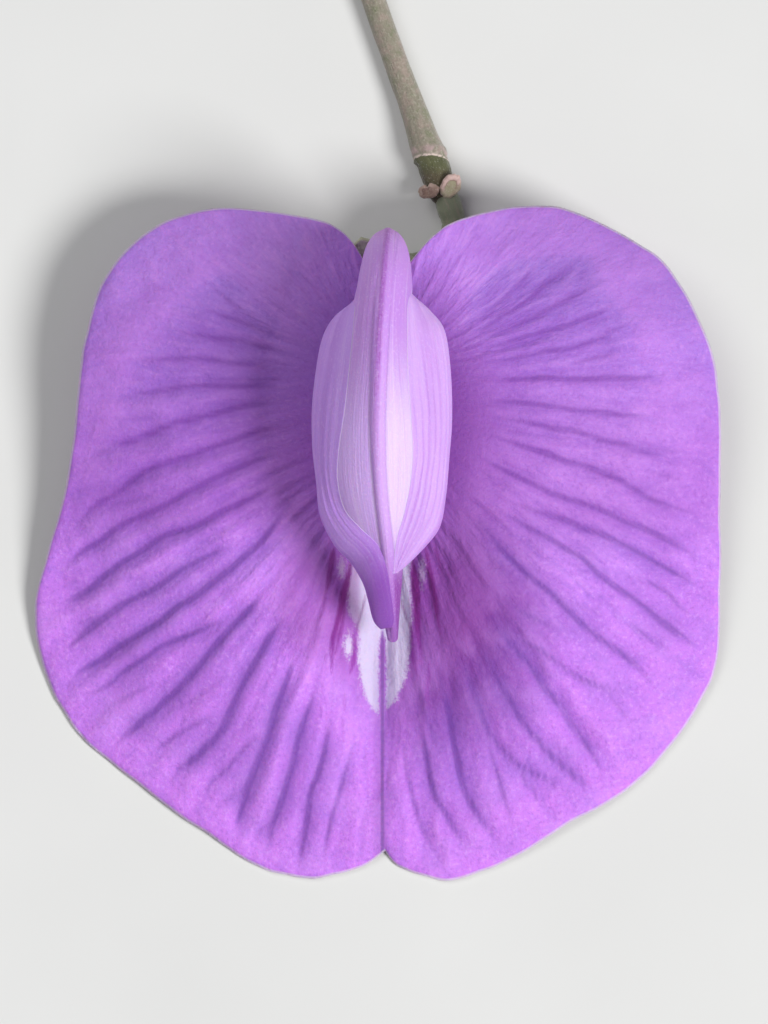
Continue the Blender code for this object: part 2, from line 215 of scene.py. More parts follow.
class Recipe:
    def __init__(self, name):
        self.material = bpy.data.materials.new(name)
        self.material.use_nodes = True
        self.tree = self.material.node_tree
        self.shader = self.tree.nodes["Principled BSDF"]

    def add(self, kind, inputs=None, **settings):
        made = self.tree.nodes.new("ShaderNode" + kind)
        for key, value in settings.items():
            setattr(made, key, value)
        for key, value in (inputs or {}).items():
            self.put(value, made.inputs[key])
        return made

    def put(self, value, socket):
        if isinstance(value, bpy.types.NodeSocket):
            self.tree.links.new(value, socket)
        else:
            socket.default_value = value

    def mark(self, name):
        return self.add("Attribute", attribute_name=name).outputs["Fac"]

    def place(self):
        spot = self.add("TexCoord").outputs["Object"]
        turn_back = Matrix.Rotation(-TILT, 3, "X")
        settings = {
            "Vector": spot,
            "Location": -(turn_back @ SHIFT),
            "Rotation": (-TILT, 0.0, 0.0),
            "Scale": (1 / MM, 1 / MM, 1 / MM),
        }
        return self.add("Mapping", settings).outputs["Vector"]

    def parts_of(self, vector):
        return self.add("SeparateXYZ", {"Vector": vector}).outputs

    def vector(self, x, y, z=0.0):
        return self.add("CombineXYZ", {"X": x, "Y": y, "Z": z}).outputs["Vector"]

    def sum(self, operation, a, b=0.0):
        return self.add("Math", {0: a, 1: b}, operation=operation).outputs[0]

    def times(self, first, *others):
        for other in others:
            first = self.sum("MULTIPLY", first, other)
        return first

    def plus(self, a, b):
        return self.sum("ADD", a, b)

    def minus(self, a, b):
        return self.sum("SUBTRACT", a, b)

    def scaled(self, value, factor, start):
        return self.plus(self.times(value, factor), start)

    def away(self, value, middle=0.0):
        return self.sum("ABSOLUTE", self.plus(value, -middle))

    def length(self, x, y):
        return self.add("VectorMath", {0: self.vector(x, y)}, operation="LENGTH").outputs["Value"]

    def step(self, low, high, value):
        inputs = {"Value": value, "From Min": low, "From Max": high, "To Min": 0.0, "To Max": 1.0}
        return self.add("MapRange", inputs, interpolation_type="SMOOTHSTEP").outputs["Result"]

    def noise(self, vector, scale, detail=2.0, roughness=0.5, centre=False):
        inputs = {"Vector": vector, "Scale": scale, "Detail": detail, "Roughness": roughness}
        value = self.add("TexNoise", inputs).outputs["Fac"]
        return self.plus(value, -0.5) if centre else value

    # Noise drawn out one way: each run is a value and how fast the noise changes along it
    def streaks(self, *runs, detail=2.0, roughness=0.5, centre=False):
        spot = self.vector(*(self.times(value, speed) for value, speed in runs))
        return self.noise(spot, 1.0, detail, roughness, centre)

    def cells(self, vector, scale):
        return self.add("TexVoronoi", {"Vector": vector, "Scale": scale}).outputs["Distance"]

    def mix(self, share, a, b):
        node = self.add("Mix", data_type="RGBA")
        self.put(share, node.inputs[0])
        self.put(a, node.inputs[6])
        self.put(b, node.inputs[7])
        return node.outputs[2]

    # Lays coat after coat over the ground: each lies where its shares say, as strong as its number says
    def layer(self, ground, *coats):
        for *shares, strength, colour in coats:
            ground = self.mix(self.times(*shares, strength), ground, colour)
        return ground

    def ramp(self, value, *stops):
        node = self.add("ValToRGB", {"Fac": value})
        points = node.color_ramp.elements
        while len(points) < len(stops):
            points.new(0.5)
        for point, (where, colour) in zip(points, stops):
            point.position = where
            point.color = colour
        return node.outputs["Color"]

    def bump(self, height, depth, strength=1.0, under=None):
        inputs = {"Height": height, "Distance": depth * MM, "Strength": strength}
        if under is not None:
            inputs["Normal"] = under
        return self.add("Bump", inputs).outputs["Normal"]

    def finish(self, colour, roughness, normal, **sockets):
        self.put(colour, self.shader.inputs["Base Color"])
        self.put(roughness, self.shader.inputs["Roughness"])
        self.put(normal, self.shader.inputs["Normal"])
        for name, value in sockets.items():
            self.shader.inputs[name.replace("_", " ")].default_value = value
        return self.material


# What living tissue does with light: it lets a little in, and its fine hairs catch some at the edges
PETAL_LIGHT = {
    "Sheen_Weight": 0.2, "Sheen_Roughness": 0.5, "Sheen_Tint": paint(226, 200, 250),
    "Subsurface_Weight": 0.12, "Subsurface_Scale": 0.0006, "Specular_IOR_Level": 0.25,
}
STALK_LIGHT = {"Sheen_Weight": 0.3, "Sheen_Roughness": 0.5, "Specular_IOR_Level": 0.3}

print("a petal's lilac in linear light:", [round(c, 3) for c in paint(190, 110, 220)])

# %% [markdown]
# The big petal is the banner. Its margin runs from the notch at the bottom round each lobe to the
# gap under the stem, where it narrows into a claw that dives into the calyx. Left and right are
# listed apart, because no two lobes grow alike. A ray runs from the middle to each margin point.

# %% The banner's outline and face
LEFT_MARGIN = (
    (0.0, -23.1), (-1.4, -24.0), (-3.9, -24.5), (-6.4, -24.0), (-9.2, -22.3), (-12.8, -19.7),
    (-15.8, -17.2), (-17.5, -14.6), (-18.4, -11.0), (-17.8, -7.8), (-16.7, -3.8), (-16.1, 1.1),
    (-15.7, 4.0), (-14.5, 7.3), (-12.1, 9.6), (-8.9, 10.6), (-4.5, 10.2), (-2.4, 9.5), (-1.3, 8.2),
    (-1.0, 7.3), (-0.6, 6.7), (0.0, 6.6),
)
RIGHT_MARGIN = (
    (0.0, -23.1), (0.9, -24.0), (3.4, -24.6), (6.2, -23.7), (9.6, -21.7), (13.2, -19.5),
    (15.7, -16.6), (17.3, -13.6), (17.6, -9.6), (17.6, -5.7), (17.6, -0.6), (17.2, 2.9),
    (15.4, 6.8), (13.4, 8.7), (9.7, 10.5), (7.1, 10.7), (4.2, 10.1), (2.7, 9.3), (1.5, 8.0),
    (1.1, 7.3), (0.6, 6.7), (0.0, 6.6),
)
MARGIN_STEPS = len(LEFT_MARGIN) - 1
CLAW_FROM = 18.2 / MARGIN_STEPS
CLAW_FULL = 19.6 / MARGIN_STEPS
CLAW_START = 4.5
CLAW_RISE = 0.40
CLAW_DIVE = 0.85
SPUR_PLACE = 2.4
SPUR_RADIUS = 0.6


# The face without its furrows: two swelling halves, a crease between them, edges that curve back
def face_height(x, y):
    side = np.hypot(x, 0.15)
    crease = 1.0 - 0.75 * soft_step(-14.0, -23.1, y) - 0.4 * soft_step(0.0, 7.0, y)
    height = -2.4 * crease * np.exp(-side / 3.2) - 3.2 * (side / 18.0) ** 2
    height -= 2.2 * soft_step(1.5, 8.0, side) * (np.maximum(y, 0.0) / 10.7) ** 2
    height -= 1.5 * (np.maximum(-9.0 - y, 0.0) / 15.5) ** 2
    height -= 1.2 * bell(np.hypot(x, y - SPUR_PLACE), SPUR_RADIUS)
    return height


print("face falls to", face_height(np.array([-17.0, 0.0]), np.array([-11.0, -11.0])).round(2), "mm")

# %% [markdown]
# Furrows give this petal its pleated look. They fan out from the middle and bend, join and fade as
# veins do, so each is given as its strength and the places that it runs through. They could be
# painted on with a bump, but real valleys still show from the side and catch the light, so the mesh
# itself is pressed in. The sum of two furrows is made so that the ground swells softly between them.

# %% Furrows of the banner
LEFT_FURROWS = (
    (0.3, ((-9.0, 7.4), (-8.3, 6.6), (-7.3, 5.9))),
    (0.5, ((-9.7, 6.9), (-8.6, 6.1), (-7.6, 5.3), (-6.4, 4.8))),
    (0.65, ((-9.7, 5.6), (-8.6, 5.0), (-7.4, 4.6), (-6.2, 4.1), (-5.2, 3.6))),
    (0.4, ((-11.2, 5.3), (-10.2, 5.0), (-9.5, 4.6))),
    (0.75, ((-11.6, 4.3), (-10.0, 3.95), (-8.6, 3.75), (-7.4, 3.6), (-6.2, 3.25), (-5.0, 3.0))),
    (0.8, ((-13.2, 2.6), (-11.2, 2.7), (-9.6, 2.7), (-8.2, 2.5), (-6.8, 2.35), (-5.0, 2.1))),
    (0.8, (
        (-13.8, 0.7), (-12.2, 0.95), (-10.8, 1.2), (-9.4, 1.3), (-7.8, 1.25), (-6.2, 1.25),
        (-5.0, 1.2),
    )),
    (0.3, ((-12.3, 1.0), (-11.2, 0.9), (-10.3, 0.8))),
    (1.0, (
        (-15.2, -2.3), (-13.6, -1.7), (-12.4, -1.3), (-11.2, -0.75), (-9.8, -0.4), (-8.4, -0.05),
        (-7.0, 0.25), (-5.2, 0.4),
    )),
    (0.35, ((-14.2, -0.5), (-12.9, -0.4), (-11.6, -0.6))),
    (1.0, (
        (-16.3, -6.3), (-15.2, -5.0), (-14.0, -4.3), (-13.0, -3.5), (-12.0, -2.95), (-10.6, -2.5),
        (-9.2, -2.0), (-8.0, -1.6), (-6.6, -1.1), (-5.2, -0.8),
    )),
    (0.35, ((-16.4, -4.4), (-15.2, -3.95), (-14.2, -3.7))),
    (0.4, ((-15.2, -5.15), (-14.4, -4.9), (-13.2, -4.75), (-12.0, -4.6), (-11.2, -4.7))),
    (1.1, (
        (-16.9, -8.5), (-16.0, -7.5), (-15.0, -6.9), (-13.8, -6.0), (-12.4, -5.4), (-11.4, -4.9),
        (-10.4, -4.3), (-9.4, -3.8), (-8.4, -3.3), (-7.4, -2.9), (-6.4, -2.5), (-5.4, -2.2),
    )),
    (0.3, ((-17.6, -9.7), (-16.4, -9.0), (-15.4, -8.6))),
    (1.15, (
        (-17.2, -10.4), (-16.4, -9.9), (-15.4, -9.3), (-14.6, -8.6), (-13.8, -8.0), (-12.8, -7.4),
        (-11.6, -6.6), (-10.6, -6.3), (-9.6, -5.9), (-8.6, -5.3), (-7.6, -4.9), (-6.6, -4.4),
        (-5.4, -3.8),
    )),
    (0.3, ((-15.0, -9.2), (-14.0, -8.95), (-13.0, -8.75), (-12.2, -8.4))),
    (1.1, (
        (-17.0, -13.0), (-16.2, -12.1), (-15.4, -11.4), (-14.6, -10.8), (-13.8, -10.2), (-12.8, -9.7),
        (-11.8, -9.2), (-11.0, -8.6), (-10.0, -8.0), (-9.0, -7.5), (-7.9, -7.05),
    )),
    (1.2, (
        (-16.6, -14.3), (-15.8, -13.6), (-14.8, -13.0), (-13.8, -12.3), (-12.8, -11.7), (-11.8, -11.1),
        (-11.0, -10.4), (-10.0, -9.8), (-9.0, -9.0), (-8.2, -8.4), (-7.4, -7.7), (-6.6, -7.0),
        (-5.8, -6.0), (-5.0, -4.9),
    )),
    (0.4, ((-16.8, -11.0), (-16.0, -11.1), (-15.2, -10.9))),
    (1.0, (
        (-15.8, -14.9), (-14.8, -14.6), (-13.7, -13.7), (-12.6, -13.0), (-11.8, -12.4), (-10.8, -12.0),
        (-9.8, -11.6), (-9.0, -11.2), (-8.1, -11.0),
    )),
    (0.55, ((-14.8, -15.8), (-13.6, -15.1), (-12.6, -14.6), (-11.6, -14.1))),
    (1.35, (
        (-14.2, -17.7), (-13.4, -16.9), (-12.4, -16.0), (-11.6, -15.3), (-10.8, -14.6), (-10.0, -13.7),
        (-9.2, -12.7), (-8.6, -12.0), (-7.8, -11.1), (-7.0, -10.3), (-6.2, -9.2),
    )),
    (0.45, ((-12.2, -16.5), (-10.8, -15.6), (-9.6, -14.9), (-8.6, -14.2), (-7.8, -13.6))),
    (0.7, ((-12.7, -18.9), (-12.1, -17.9), (-11.0, -17.1), (-10.2, -16.6), (-9.4, -16.2), (-8.7, -15.9))),
    (1.35, (
        (-11.3, -19.5), (-10.6, -18.7), (-9.8, -18.1), (-9.0, -17.3), (-8.4, -16.5), (-7.9, -15.3),
        (-7.4, -14.2), (-6.8, -13.2), (-6.3, -12.3), (-5.7, -11.4), (-5.0, -10.6),
    )),
    (0.7, ((-10.1, -20.7), (-9.2, -19.6), (-8.4, -18.9), (-7.6, -18.0), (-6.9, -17.3), (-6.4, -16.9))),
    (0.5, ((-9.4, -21.4), (-8.4, -20.5), (-7.6, -20.0), (-7.2, -19.7))),
    (0.3, ((-7.4, -17.0), (-7.0, -16.2), (-6.6, -15.7))),
    (1.3, (
        (-7.7, -22.2), (-7.6, -21.2), (-7.2, -19.8), (-6.9, -19.0), (-6.5, -18.0), (-6.1, -17.0),
        (-5.8, -15.9), (-5.4, -14.8), (-5.0, -13.7), (-4.7, -12.7),
    )),
    (1.2, (
        (-6.1, -23.3), (-6.0, -22.0), (-5.7, -21.2), (-5.4, -20.4), (-5.1, -19.4), (-4.8, -18.4),
        (-4.6, -17.4), (-4.3, -16.4), (-3.9, -15.4), (-3.6, -14.2),
    )),
    (0.5, ((-6.9, -22.7), (-6.6, -22.1), (-6.0, -21.6))),
    (1.1, (
        (-4.5, -23.9), (-4.3, -22.8), (-4.0, -21.0), (-3.9, -20.0), (-3.5, -19.0), (-3.2, -18.0),
        (-3.0, -17.0), (-2.8, -15.9),
    )),
    (0.35, ((-5.1, -23.1), (-4.5, -22.3))),
    (0.8, (
        (-3.3, -23.8), (-3.1, -22.8), (-2.8, -21.4), (-2.5, -20.4), (-2.2, -19.4), (-1.9, -18.4),
        (-1.6, -17.3),
    )),
)
RIGHT_FURROWS = (
    (0.4, ((4.2, 5.0), (4.8, 5.6), (5.6, 6.3), (6.4, 7.2), (6.9, 7.9))),
    (0.85, ((4.4, 4.5), (5.4, 5.2), (6.2, 5.8), (7.0, 6.6), (7.6, 7.2), (8.2, 7.8))),
    (0.95, (
        (4.3, 4.0), (5.2, 4.3), (6.0, 4.9), (7.0, 5.4), (7.8, 6.1), (8.6, 6.8), (9.4, 7.3),
        (10.2, 8.0),
    )),
    (0.85, (
        (4.8, 3.6), (5.8, 4.0), (6.8, 4.4), (7.8, 4.9), (8.8, 5.4), (9.6, 5.8), (10.4, 6.2),
        (11.4, 6.7),
    )),
    (0.5, ((10.0, 6.5), (10.4, 7.1), (10.9, 7.7))),
    (0.95, (
        (4.8, 3.2), (6.0, 3.4), (7.2, 3.8), (8.2, 4.1), (9.4, 4.4), (10.4, 4.8), (11.4, 5.2),
        (12.3, 5.7),
    )),
    (0.95, (
        (5.0, 2.5), (6.2, 2.6), (7.2, 2.8), (8.4, 3.1), (9.4, 3.2), (10.4, 3.5), (11.3, 3.8), (12.0, 4.2),
        (13.3, 4.9),
    )),
    (0.7, ((9.1, 2.3), (10.2, 2.5), (11.2, 2.8), (12.0, 3.1), (12.9, 3.35))),
    (0.95, (
        (5.2, 1.5), (6.8, 1.6), (8.2, 1.7), (9.4, 1.65), (10.6, 1.65), (12.0, 1.7), (13.4, 1.7),
        (14.4, 1.9),
    )),
    (0.95, (
        (5.0, 0.5), (6.4, 0.45), (7.6, 0.35), (8.8, 0.2), (10.0, 0.0), (11.2, -0.1), (12.6, -0.25),
        (14.4, -0.45),
    )),
    (0.95, (
        (5.0, -0.3), (6.6, -0.5), (7.8, -0.7), (8.8, -0.95), (9.8, -1.05), (10.6, -1.3), (11.6, -1.6),
        (12.8, -1.9), (13.8, -2.15), (14.8, -2.2), (16.0, -2.2),
    )),
    (1.05, (
        (5.0, -1.1), (6.4, -1.6), (7.6, -2.0), (8.6, -2.3), (9.4, -2.65), (10.2, -2.85), (11.2, -3.2),
        (12.2, -3.6), (13.0, -4.1), (14.0, -4.7), (15.0, -5.1), (16.6, -5.4),
    )),
    (0.5, ((12.7, -3.6), (13.8, -3.4), (14.8, -3.5), (15.8, -3.95), (16.7, -4.5))),
    (1.05, (
        (4.8, -2.4), (5.6, -2.8), (6.6, -3.3), (7.6, -3.8), (8.6, -4.3), (9.6, -4.65), (10.6, -4.95),
        (11.6, -5.35), (12.6, -5.85), (13.6, -6.2), (14.6, -6.7), (15.6, -7.2), (16.5, -7.9),
    )),
    (0.35, ((14.9, -6.75), (15.6, -6.5), (16.5, -6.5))),
    (1.0, (
        (6.0, -4.6), (7.4, -5.1), (8.6, -5.5), (9.6, -5.8), (10.4, -6.2), (11.4, -6.5), (12.2, -6.9),
        (13.2, -7.4), (14.2, -8.0), (15.0, -8.4), (15.8, -8.8), (16.7, -9.5),
    )),
    (0.95, (
        (5.4, -5.1), (6.6, -5.6), (7.6, -6.2), (8.6, -6.7), (9.4, -7.2), (10.4, -7.8), (11.2, -8.6),
        (12.0, -9.2), (12.8, -9.7), (13.6, -10.3), (14.4, -11.0), (15.2, -11.6), (15.9, -12.1),
        (16.8, -12.9),
    )),
    (0.7, (
        (12.1, -8.4), (13.0, -8.8), (13.8, -9.0), (14.6, -9.4), (15.2, -10.0), (15.9, -10.6),
        (16.7, -10.75),
    )),
    (0.4, ((14.2, -10.7), (15.0, -10.9), (15.9, -11.25))),
    (0.95, (
        (4.4, -5.4), (5.4, -6.4), (6.2, -7.4), (7.0, -8.2), (7.8, -8.9), (8.6, -9.5), (9.2, -10.1),
        (10.0, -10.9), (10.8, -11.6), (11.6, -12.2), (12.6, -12.9), (13.4, -13.6), (14.2, -14.6),
    )),
    (0.4, ((9.6, -10.0), (10.6, -10.4), (11.3, -10.7))),
    (0.6, ((12.2, -11.0), (13.2, -11.5), (14.2, -12.2), (15.4, -12.9))),
    (0.6, ((5.8, -9.3), (6.6, -10.2), (7.4, -10.7), (8.2, -11.1), (9.0, -11.5), (9.9, -12.2))),
    (0.75, (
        (6.4, -11.4), (7.4, -12.1), (8.2, -12.6), (9.0, -13.2), (9.8, -13.8), (10.8, -14.3),
        (11.8, -14.6), (12.8, -14.9),
    )),
    (0.5, ((11.2, -14.6), (12.2, -15.4), (12.8, -16.6))),
    (1.0, (
        (5.2, -10.5), (6.2, -11.8), (7.0, -12.7), (7.8, -13.6), (8.4, -14.6), (9.2, -15.5), (9.8, -16.5),
        (10.4, -17.3), (11.0, -18.1), (11.4, -19.2),
    )),
    (1.05, (
        (4.8, -12.0), (5.6, -13.5), (6.2, -14.6), (6.8, -15.6), (7.4, -16.6), (8.0, -17.3), (8.6, -18.0),
        (9.4, -18.7), (10.2, -19.4), (10.9, -19.9),
    )),
    (0.35, ((7.9, -17.1), (8.8, -17.3), (9.6, -18.0), (10.5, -18.7))),
    (0.85, (
        (3.7, -12.4), (4.4, -14.0), (4.9, -15.4), (5.3, -16.6), (6.0, -17.6), (6.8, -18.4), (7.6, -18.9),
        (8.6, -19.4), (9.5, -20.3),
    )),
    (0.7, ((6.9, -18.6), (7.5, -19.6), (8.3, -20.7))),
    (0.7, ((5.2, -16.9), (5.6, -18.2), (6.0, -19.4), (6.3, -20.6), (7.0, -22.1))),
    (1.25, (
        (3.0, -14.2), (3.3, -15.6), (3.5, -16.8), (3.7, -18.0), (4.0, -19.4), (4.4, -20.4), (5.0, -21.4),
        (5.9, -22.6),
    )),
    (1.05, (
        (1.9, -16.4), (2.1, -17.6), (2.3, -19.0), (2.6, -20.2), (3.1, -21.0), (3.6, -21.9),
        (4.3, -23.0),
    )),
    (0.6, ((2.2, -16.1), (2.6, -17.3))),
    (0.7, ((0.9, -17.2), (1.1, -18.8), (1.4, -20.0), (1.7, -21.2), (2.2, -22.4), (3.0, -23.7))),
)
FURROW_STEPS = 5
FURROW_DEPTH = 0.50
FURROW_SHARE = 0.72
FURROW_ROUNDING = 0.17
STRONGEST = 1.3
SWELL_REACH = 0.64
FURROW_SIGHT = 2.2
LINE_WIDTH = 0.17
RUN_IN, RUN_OUT = 2.7, 1.6
FADE_IN, FADE_OUT = 4.4, 4.2


# The typed line with both of its ends run on, where it fades away
def run_on(points):
    inwards, outwards = points[0] - points[1], points[-1] - points[-2]
    start = points[0] + RUN_IN * inwards / np.linalg.norm(inwards)
    finish = points[-1] + RUN_OUT * outwards / np.linalg.norm(outwards)
    return np.vstack((start, points, finish))


# How deep the ground lies and how near the bottom of a furrow is
def furrow_field(x, y):
    ground = np.ones_like(x)
    bottom_line = np.zeros_like(x)
    for strength, points in LEFT_FURROWS + RIGHT_FURROWS:
        points = np.array(sorted(points, key=lambda point: math.hypot(*point)))
        line = through(run_on(points), np.linspace(0.0, 1.0, FURROW_STEPS * len(points)))
        (left, bottom), (right, top) = line.min(axis=0) - FURROW_SIGHT, line.max(axis=0) + FURROW_SIGHT
        near = np.nonzero((x > left) & (x < right) & (y > bottom) & (y < top))[0]
        away, share = beside_line(x[near], y[near], line)
        length = np.linalg.norm(np.diff(line, axis=0), axis=1).sum()
        fade = strength * soft_step(0.0, min(FADE_IN, 0.5 * length), share * length)
        fade *= soft_step(0.0, min(FADE_OUT, 0.5 * length), (1.0 - share) * length)
        swell = np.exp(-(np.hypot(away, FURROW_ROUNDING) - FURROW_ROUNDING) / SWELL_REACH)
        ground[near] *= 1.0 - FURROW_SHARE * np.minimum(fade, STRONGEST) * swell
        bottom_line[near] = np.maximum(bottom_line[near], fade * bell(away, LINE_WIDTH))
    return 1.0 - ground, bottom_line


print(len(LEFT_FURROWS) + len(RIGHT_FURROWS), "furrows")

# %% [markdown]
# Between the furrows the ground is not smooth either. Low pleats fan out over it, so they are waves in
# the angle about the flower's middle. A point that slides along the crease makes them lean as the
# petal's own ribs do, and towards the margin finer waves take over, so the pleats seem to fork.

# %% Pleats between the furrows
FAN_LOW, FAN_HIGH = -2.0, 1.6
RIPPLE_HEIGHT = 0.085
RAY_WAVER = 0.012
BROAD_PLEATS = ((0.17, 81), (0.16, 82))
FINE_PLEATS = ((0.085, 84), (0.08, 85))


# The way in which pleats run: the angle about a point that slides up as the angle rises
def fan_angle(x, y):
    side = np.maximum(np.abs(x), 0.05)
    focus = FAN_LOW + (FAN_HIGH - FAN_LOW) * soft_step(-1.5, 0.7, np.arctan2(y, side))
    return np.arctan2(y - focus, side)


# A wave over the angle for each half, which is given as the width of its pleats and its seed
def pleats_of(x, angle, halves):
    return np.where(x < 0.0, wander(angle, *halves[0]), wander(angle, *halves[1]))


# Height of the pleats from -1 to 1, calm in the throat and under the top
def ripple_field(x, y):
    radius = np.hypot(x, y)
    angle = fan_angle(x, y) + RAY_WAVER * wander(radius + x, 5.0, 83)
    broad = pleats_of(x, angle, BROAD_PLEATS)
    fine = pleats_of(x, angle, FINE_PLEATS)
    forked = soft_step(8.0, 13.0, radius) * (0.75 + 0.25 * wander(radius, 4.0, 86))
    calm = soft_step(3.5, 7.5, radius) * (1.0 - 0.65 * soft_step(3.0, 6.5, y))
    return (broad * (1.0 - 0.6 * forked) + 0.7 * fine * forked) * calm


print("pleats at 10 mm are", [round(10.0 * width, 1) for width, _ in BROAD_PLEATS], "mm wide")

# %% [markdown]
# In the middle the banner carries its nectar guide: a white patch on each side of the crease, with
# magenta streaks through it that run towards the nectar. The patch is stored as a distance to its
# edge and a streak as how far inside its width a place lies, both on the mesh, and the finish later
# frays their edges.

# %% Markings of the banner
CREASE_PLACE = -0.13
CREASE_GAP = 0.16
GUIDE_LEFT = (
    (-6.5, 2.3), (-8.0, 1.8), (-9.2, 1.95), (-10.0, 2.0), (-10.7, 1.9), (-11.3, 1.5), (-12.0, 1.42),
    (-13.0, 1.45), (-14.0, 1.32), (-14.9, 1.1), (-15.6, 0.75), (-16.0, 0.35), (-16.8, -1.0),
)
GUIDE_RIGHT = (
    (-6.5, 2.2), (-8.0, 1.35), (-9.2, 1.4), (-10.4, 1.45), (-11.3, 1.42), (-12.4, 1.36), (-13.4, 1.25),
    (-14.0, 1.1), (-14.6, 0.85), (-15.2, 0.6), (-15.7, 0.1), (-16.6, -1.2),
)
BLOTS = ((-2.25, -8.2, 0.22, 0.6), (1.95, -8.4, 0.2, 0.7), (-1.9, -12.3, 0.28, 0.7))
STREAKS = (
    (0.16, 0.8, ((-2.66, -7.2), (-2.8, -8.0), (-2.95, -8.9), (-3.12, -9.7))),
    (0.06, 0.6, ((-3.1, -9.4), (-3.2, -10.3), (-3.42, -11.0), (-3.62, -11.6))),
    (0.05, 0.4, ((-3.0, -9.2), (-3.3, -10.2))),
    (0.17, 1.0, (
        (-1.75, -7.9), (-1.92, -8.7), (-2.15, -9.6), (-2.3, -10.4), (-2.5, -11.2), (-2.72, -12.0),
        (-2.78, -13.0), (-2.8, -13.9),
    )),
    (0.10, 0.9, ((-2.1, -10.3), (-2.25, -11.2), (-2.42, -12.0), (-2.55, -12.8))),
    (0.08, 0.9, ((-2.0, -9.2), (-1.9, -9.7), (-1.85, -9.95))),
    (0.05, 0.8, ((-1.02, -9.7), (-1.2, -10.5), (-1.42, -11.2), (-1.55, -11.8))),
    (0.13, 0.95, ((-1.62, -11.8), (-1.6, -12.6), (-1.68, -13.3), (-1.85, -13.9))),
    (0.05, 0.5, ((-1.35, -13.2), (-1.45, -13.8))),
    (0.07, 0.45, ((-2.1, -14.8), (-2.15, -15.8))),
    (0.19, 1.0, (
        (1.45, -7.9), (1.55, -8.6), (1.62, -9.4), (1.68, -10.4), (1.72, -11.4), (1.8, -12.2),
        (1.95, -12.9),
    )),
    (0.14, 0.9, ((2.15, -7.3), (2.32, -8.2), (2.48, -9.2), (2.66, -10.1), (2.78, -11.0), (2.95, -11.8))),
    (0.06, 0.7, ((2.6, -7.0), (2.8, -7.8), (3.0, -8.6))),
    (0.05, 0.8, ((0.86, -9.9), (1.1, -10.8), (1.35, -11.4))),
    (0.10, 0.8, ((1.35, -11.3), (1.42, -11.8), (1.42, -12.4), (1.5, -13.2), (1.7, -13.9))),
    (0.08, 0.6, ((2.3, -13.1), (2.28, -14.2), (2.2, -14.8), (2.35, -15.7))),
    (0.07, 0.5, ((1.9, -12.6), (1.95, -13.5))),
)
STREAK_HEAD = (3.0, 0.35)
STREAK_TAIL = (2.2, 0.08)
STREAK_SEED = 200


# How far inside a streak each place lies, and how strong that streak is
def streak_field(x, y):
    inside = np.full_like(x, -1.0)
    strong = np.zeros_like(x)
    for number, (width, strength, points) in enumerate(STREAKS):
        line = through(points, np.linspace(0.0, 1.0, FURROW_STEPS * len(points)))
        away, share = beside_line(x, y, line)
        head = STREAK_HEAD[0] * share + STREAK_HEAD[1]
        tail = STREAK_TAIL[0] * (1.0 - share) + STREAK_TAIL[1]
        taper = np.minimum(1.0, head) * np.minimum(1.0, tail)
        depth = width * taper * (1.0 + 0.18 * wander(share, 0.6, STREAK_SEED + number)) - away
        deeper = depth > inside
        inside = np.where(deeper, depth, inside)
        strong = np.where(deeper, strength, strong)
    return inside, strong


# How far inside the white patch each place lies, less than nothing outside it
def guide_field(x, y):
    def half(edge):
        heights, widths = zip(*sorted(edge))
        return np.interp(y, heights, widths)

    inside = np.where(x < 0.0, half(GUIDE_LEFT), half(GUIDE_RIGHT)) - np.abs(x)
    from_crease = (np.abs(x - CREASE_PLACE) - CREASE_GAP) * 1.6 + 0.7 * soft_step(-12.4, -10.6, y)
    inside = np.minimum(inside, from_crease)
    for blot_x, blot_y, wide, high in BLOTS:
        blot = wide * (1.0 - np.hypot((x - blot_x) / wide, (y - blot_y) / high))
        inside = np.maximum(inside, blot)
    return np.clip(inside, -1.0, 1.0) * soft_step(-5.2, -8.4, y) - 0.55 * soft_step(-8.0, -5.4, y)


print("streaks:", len(STREAKS))
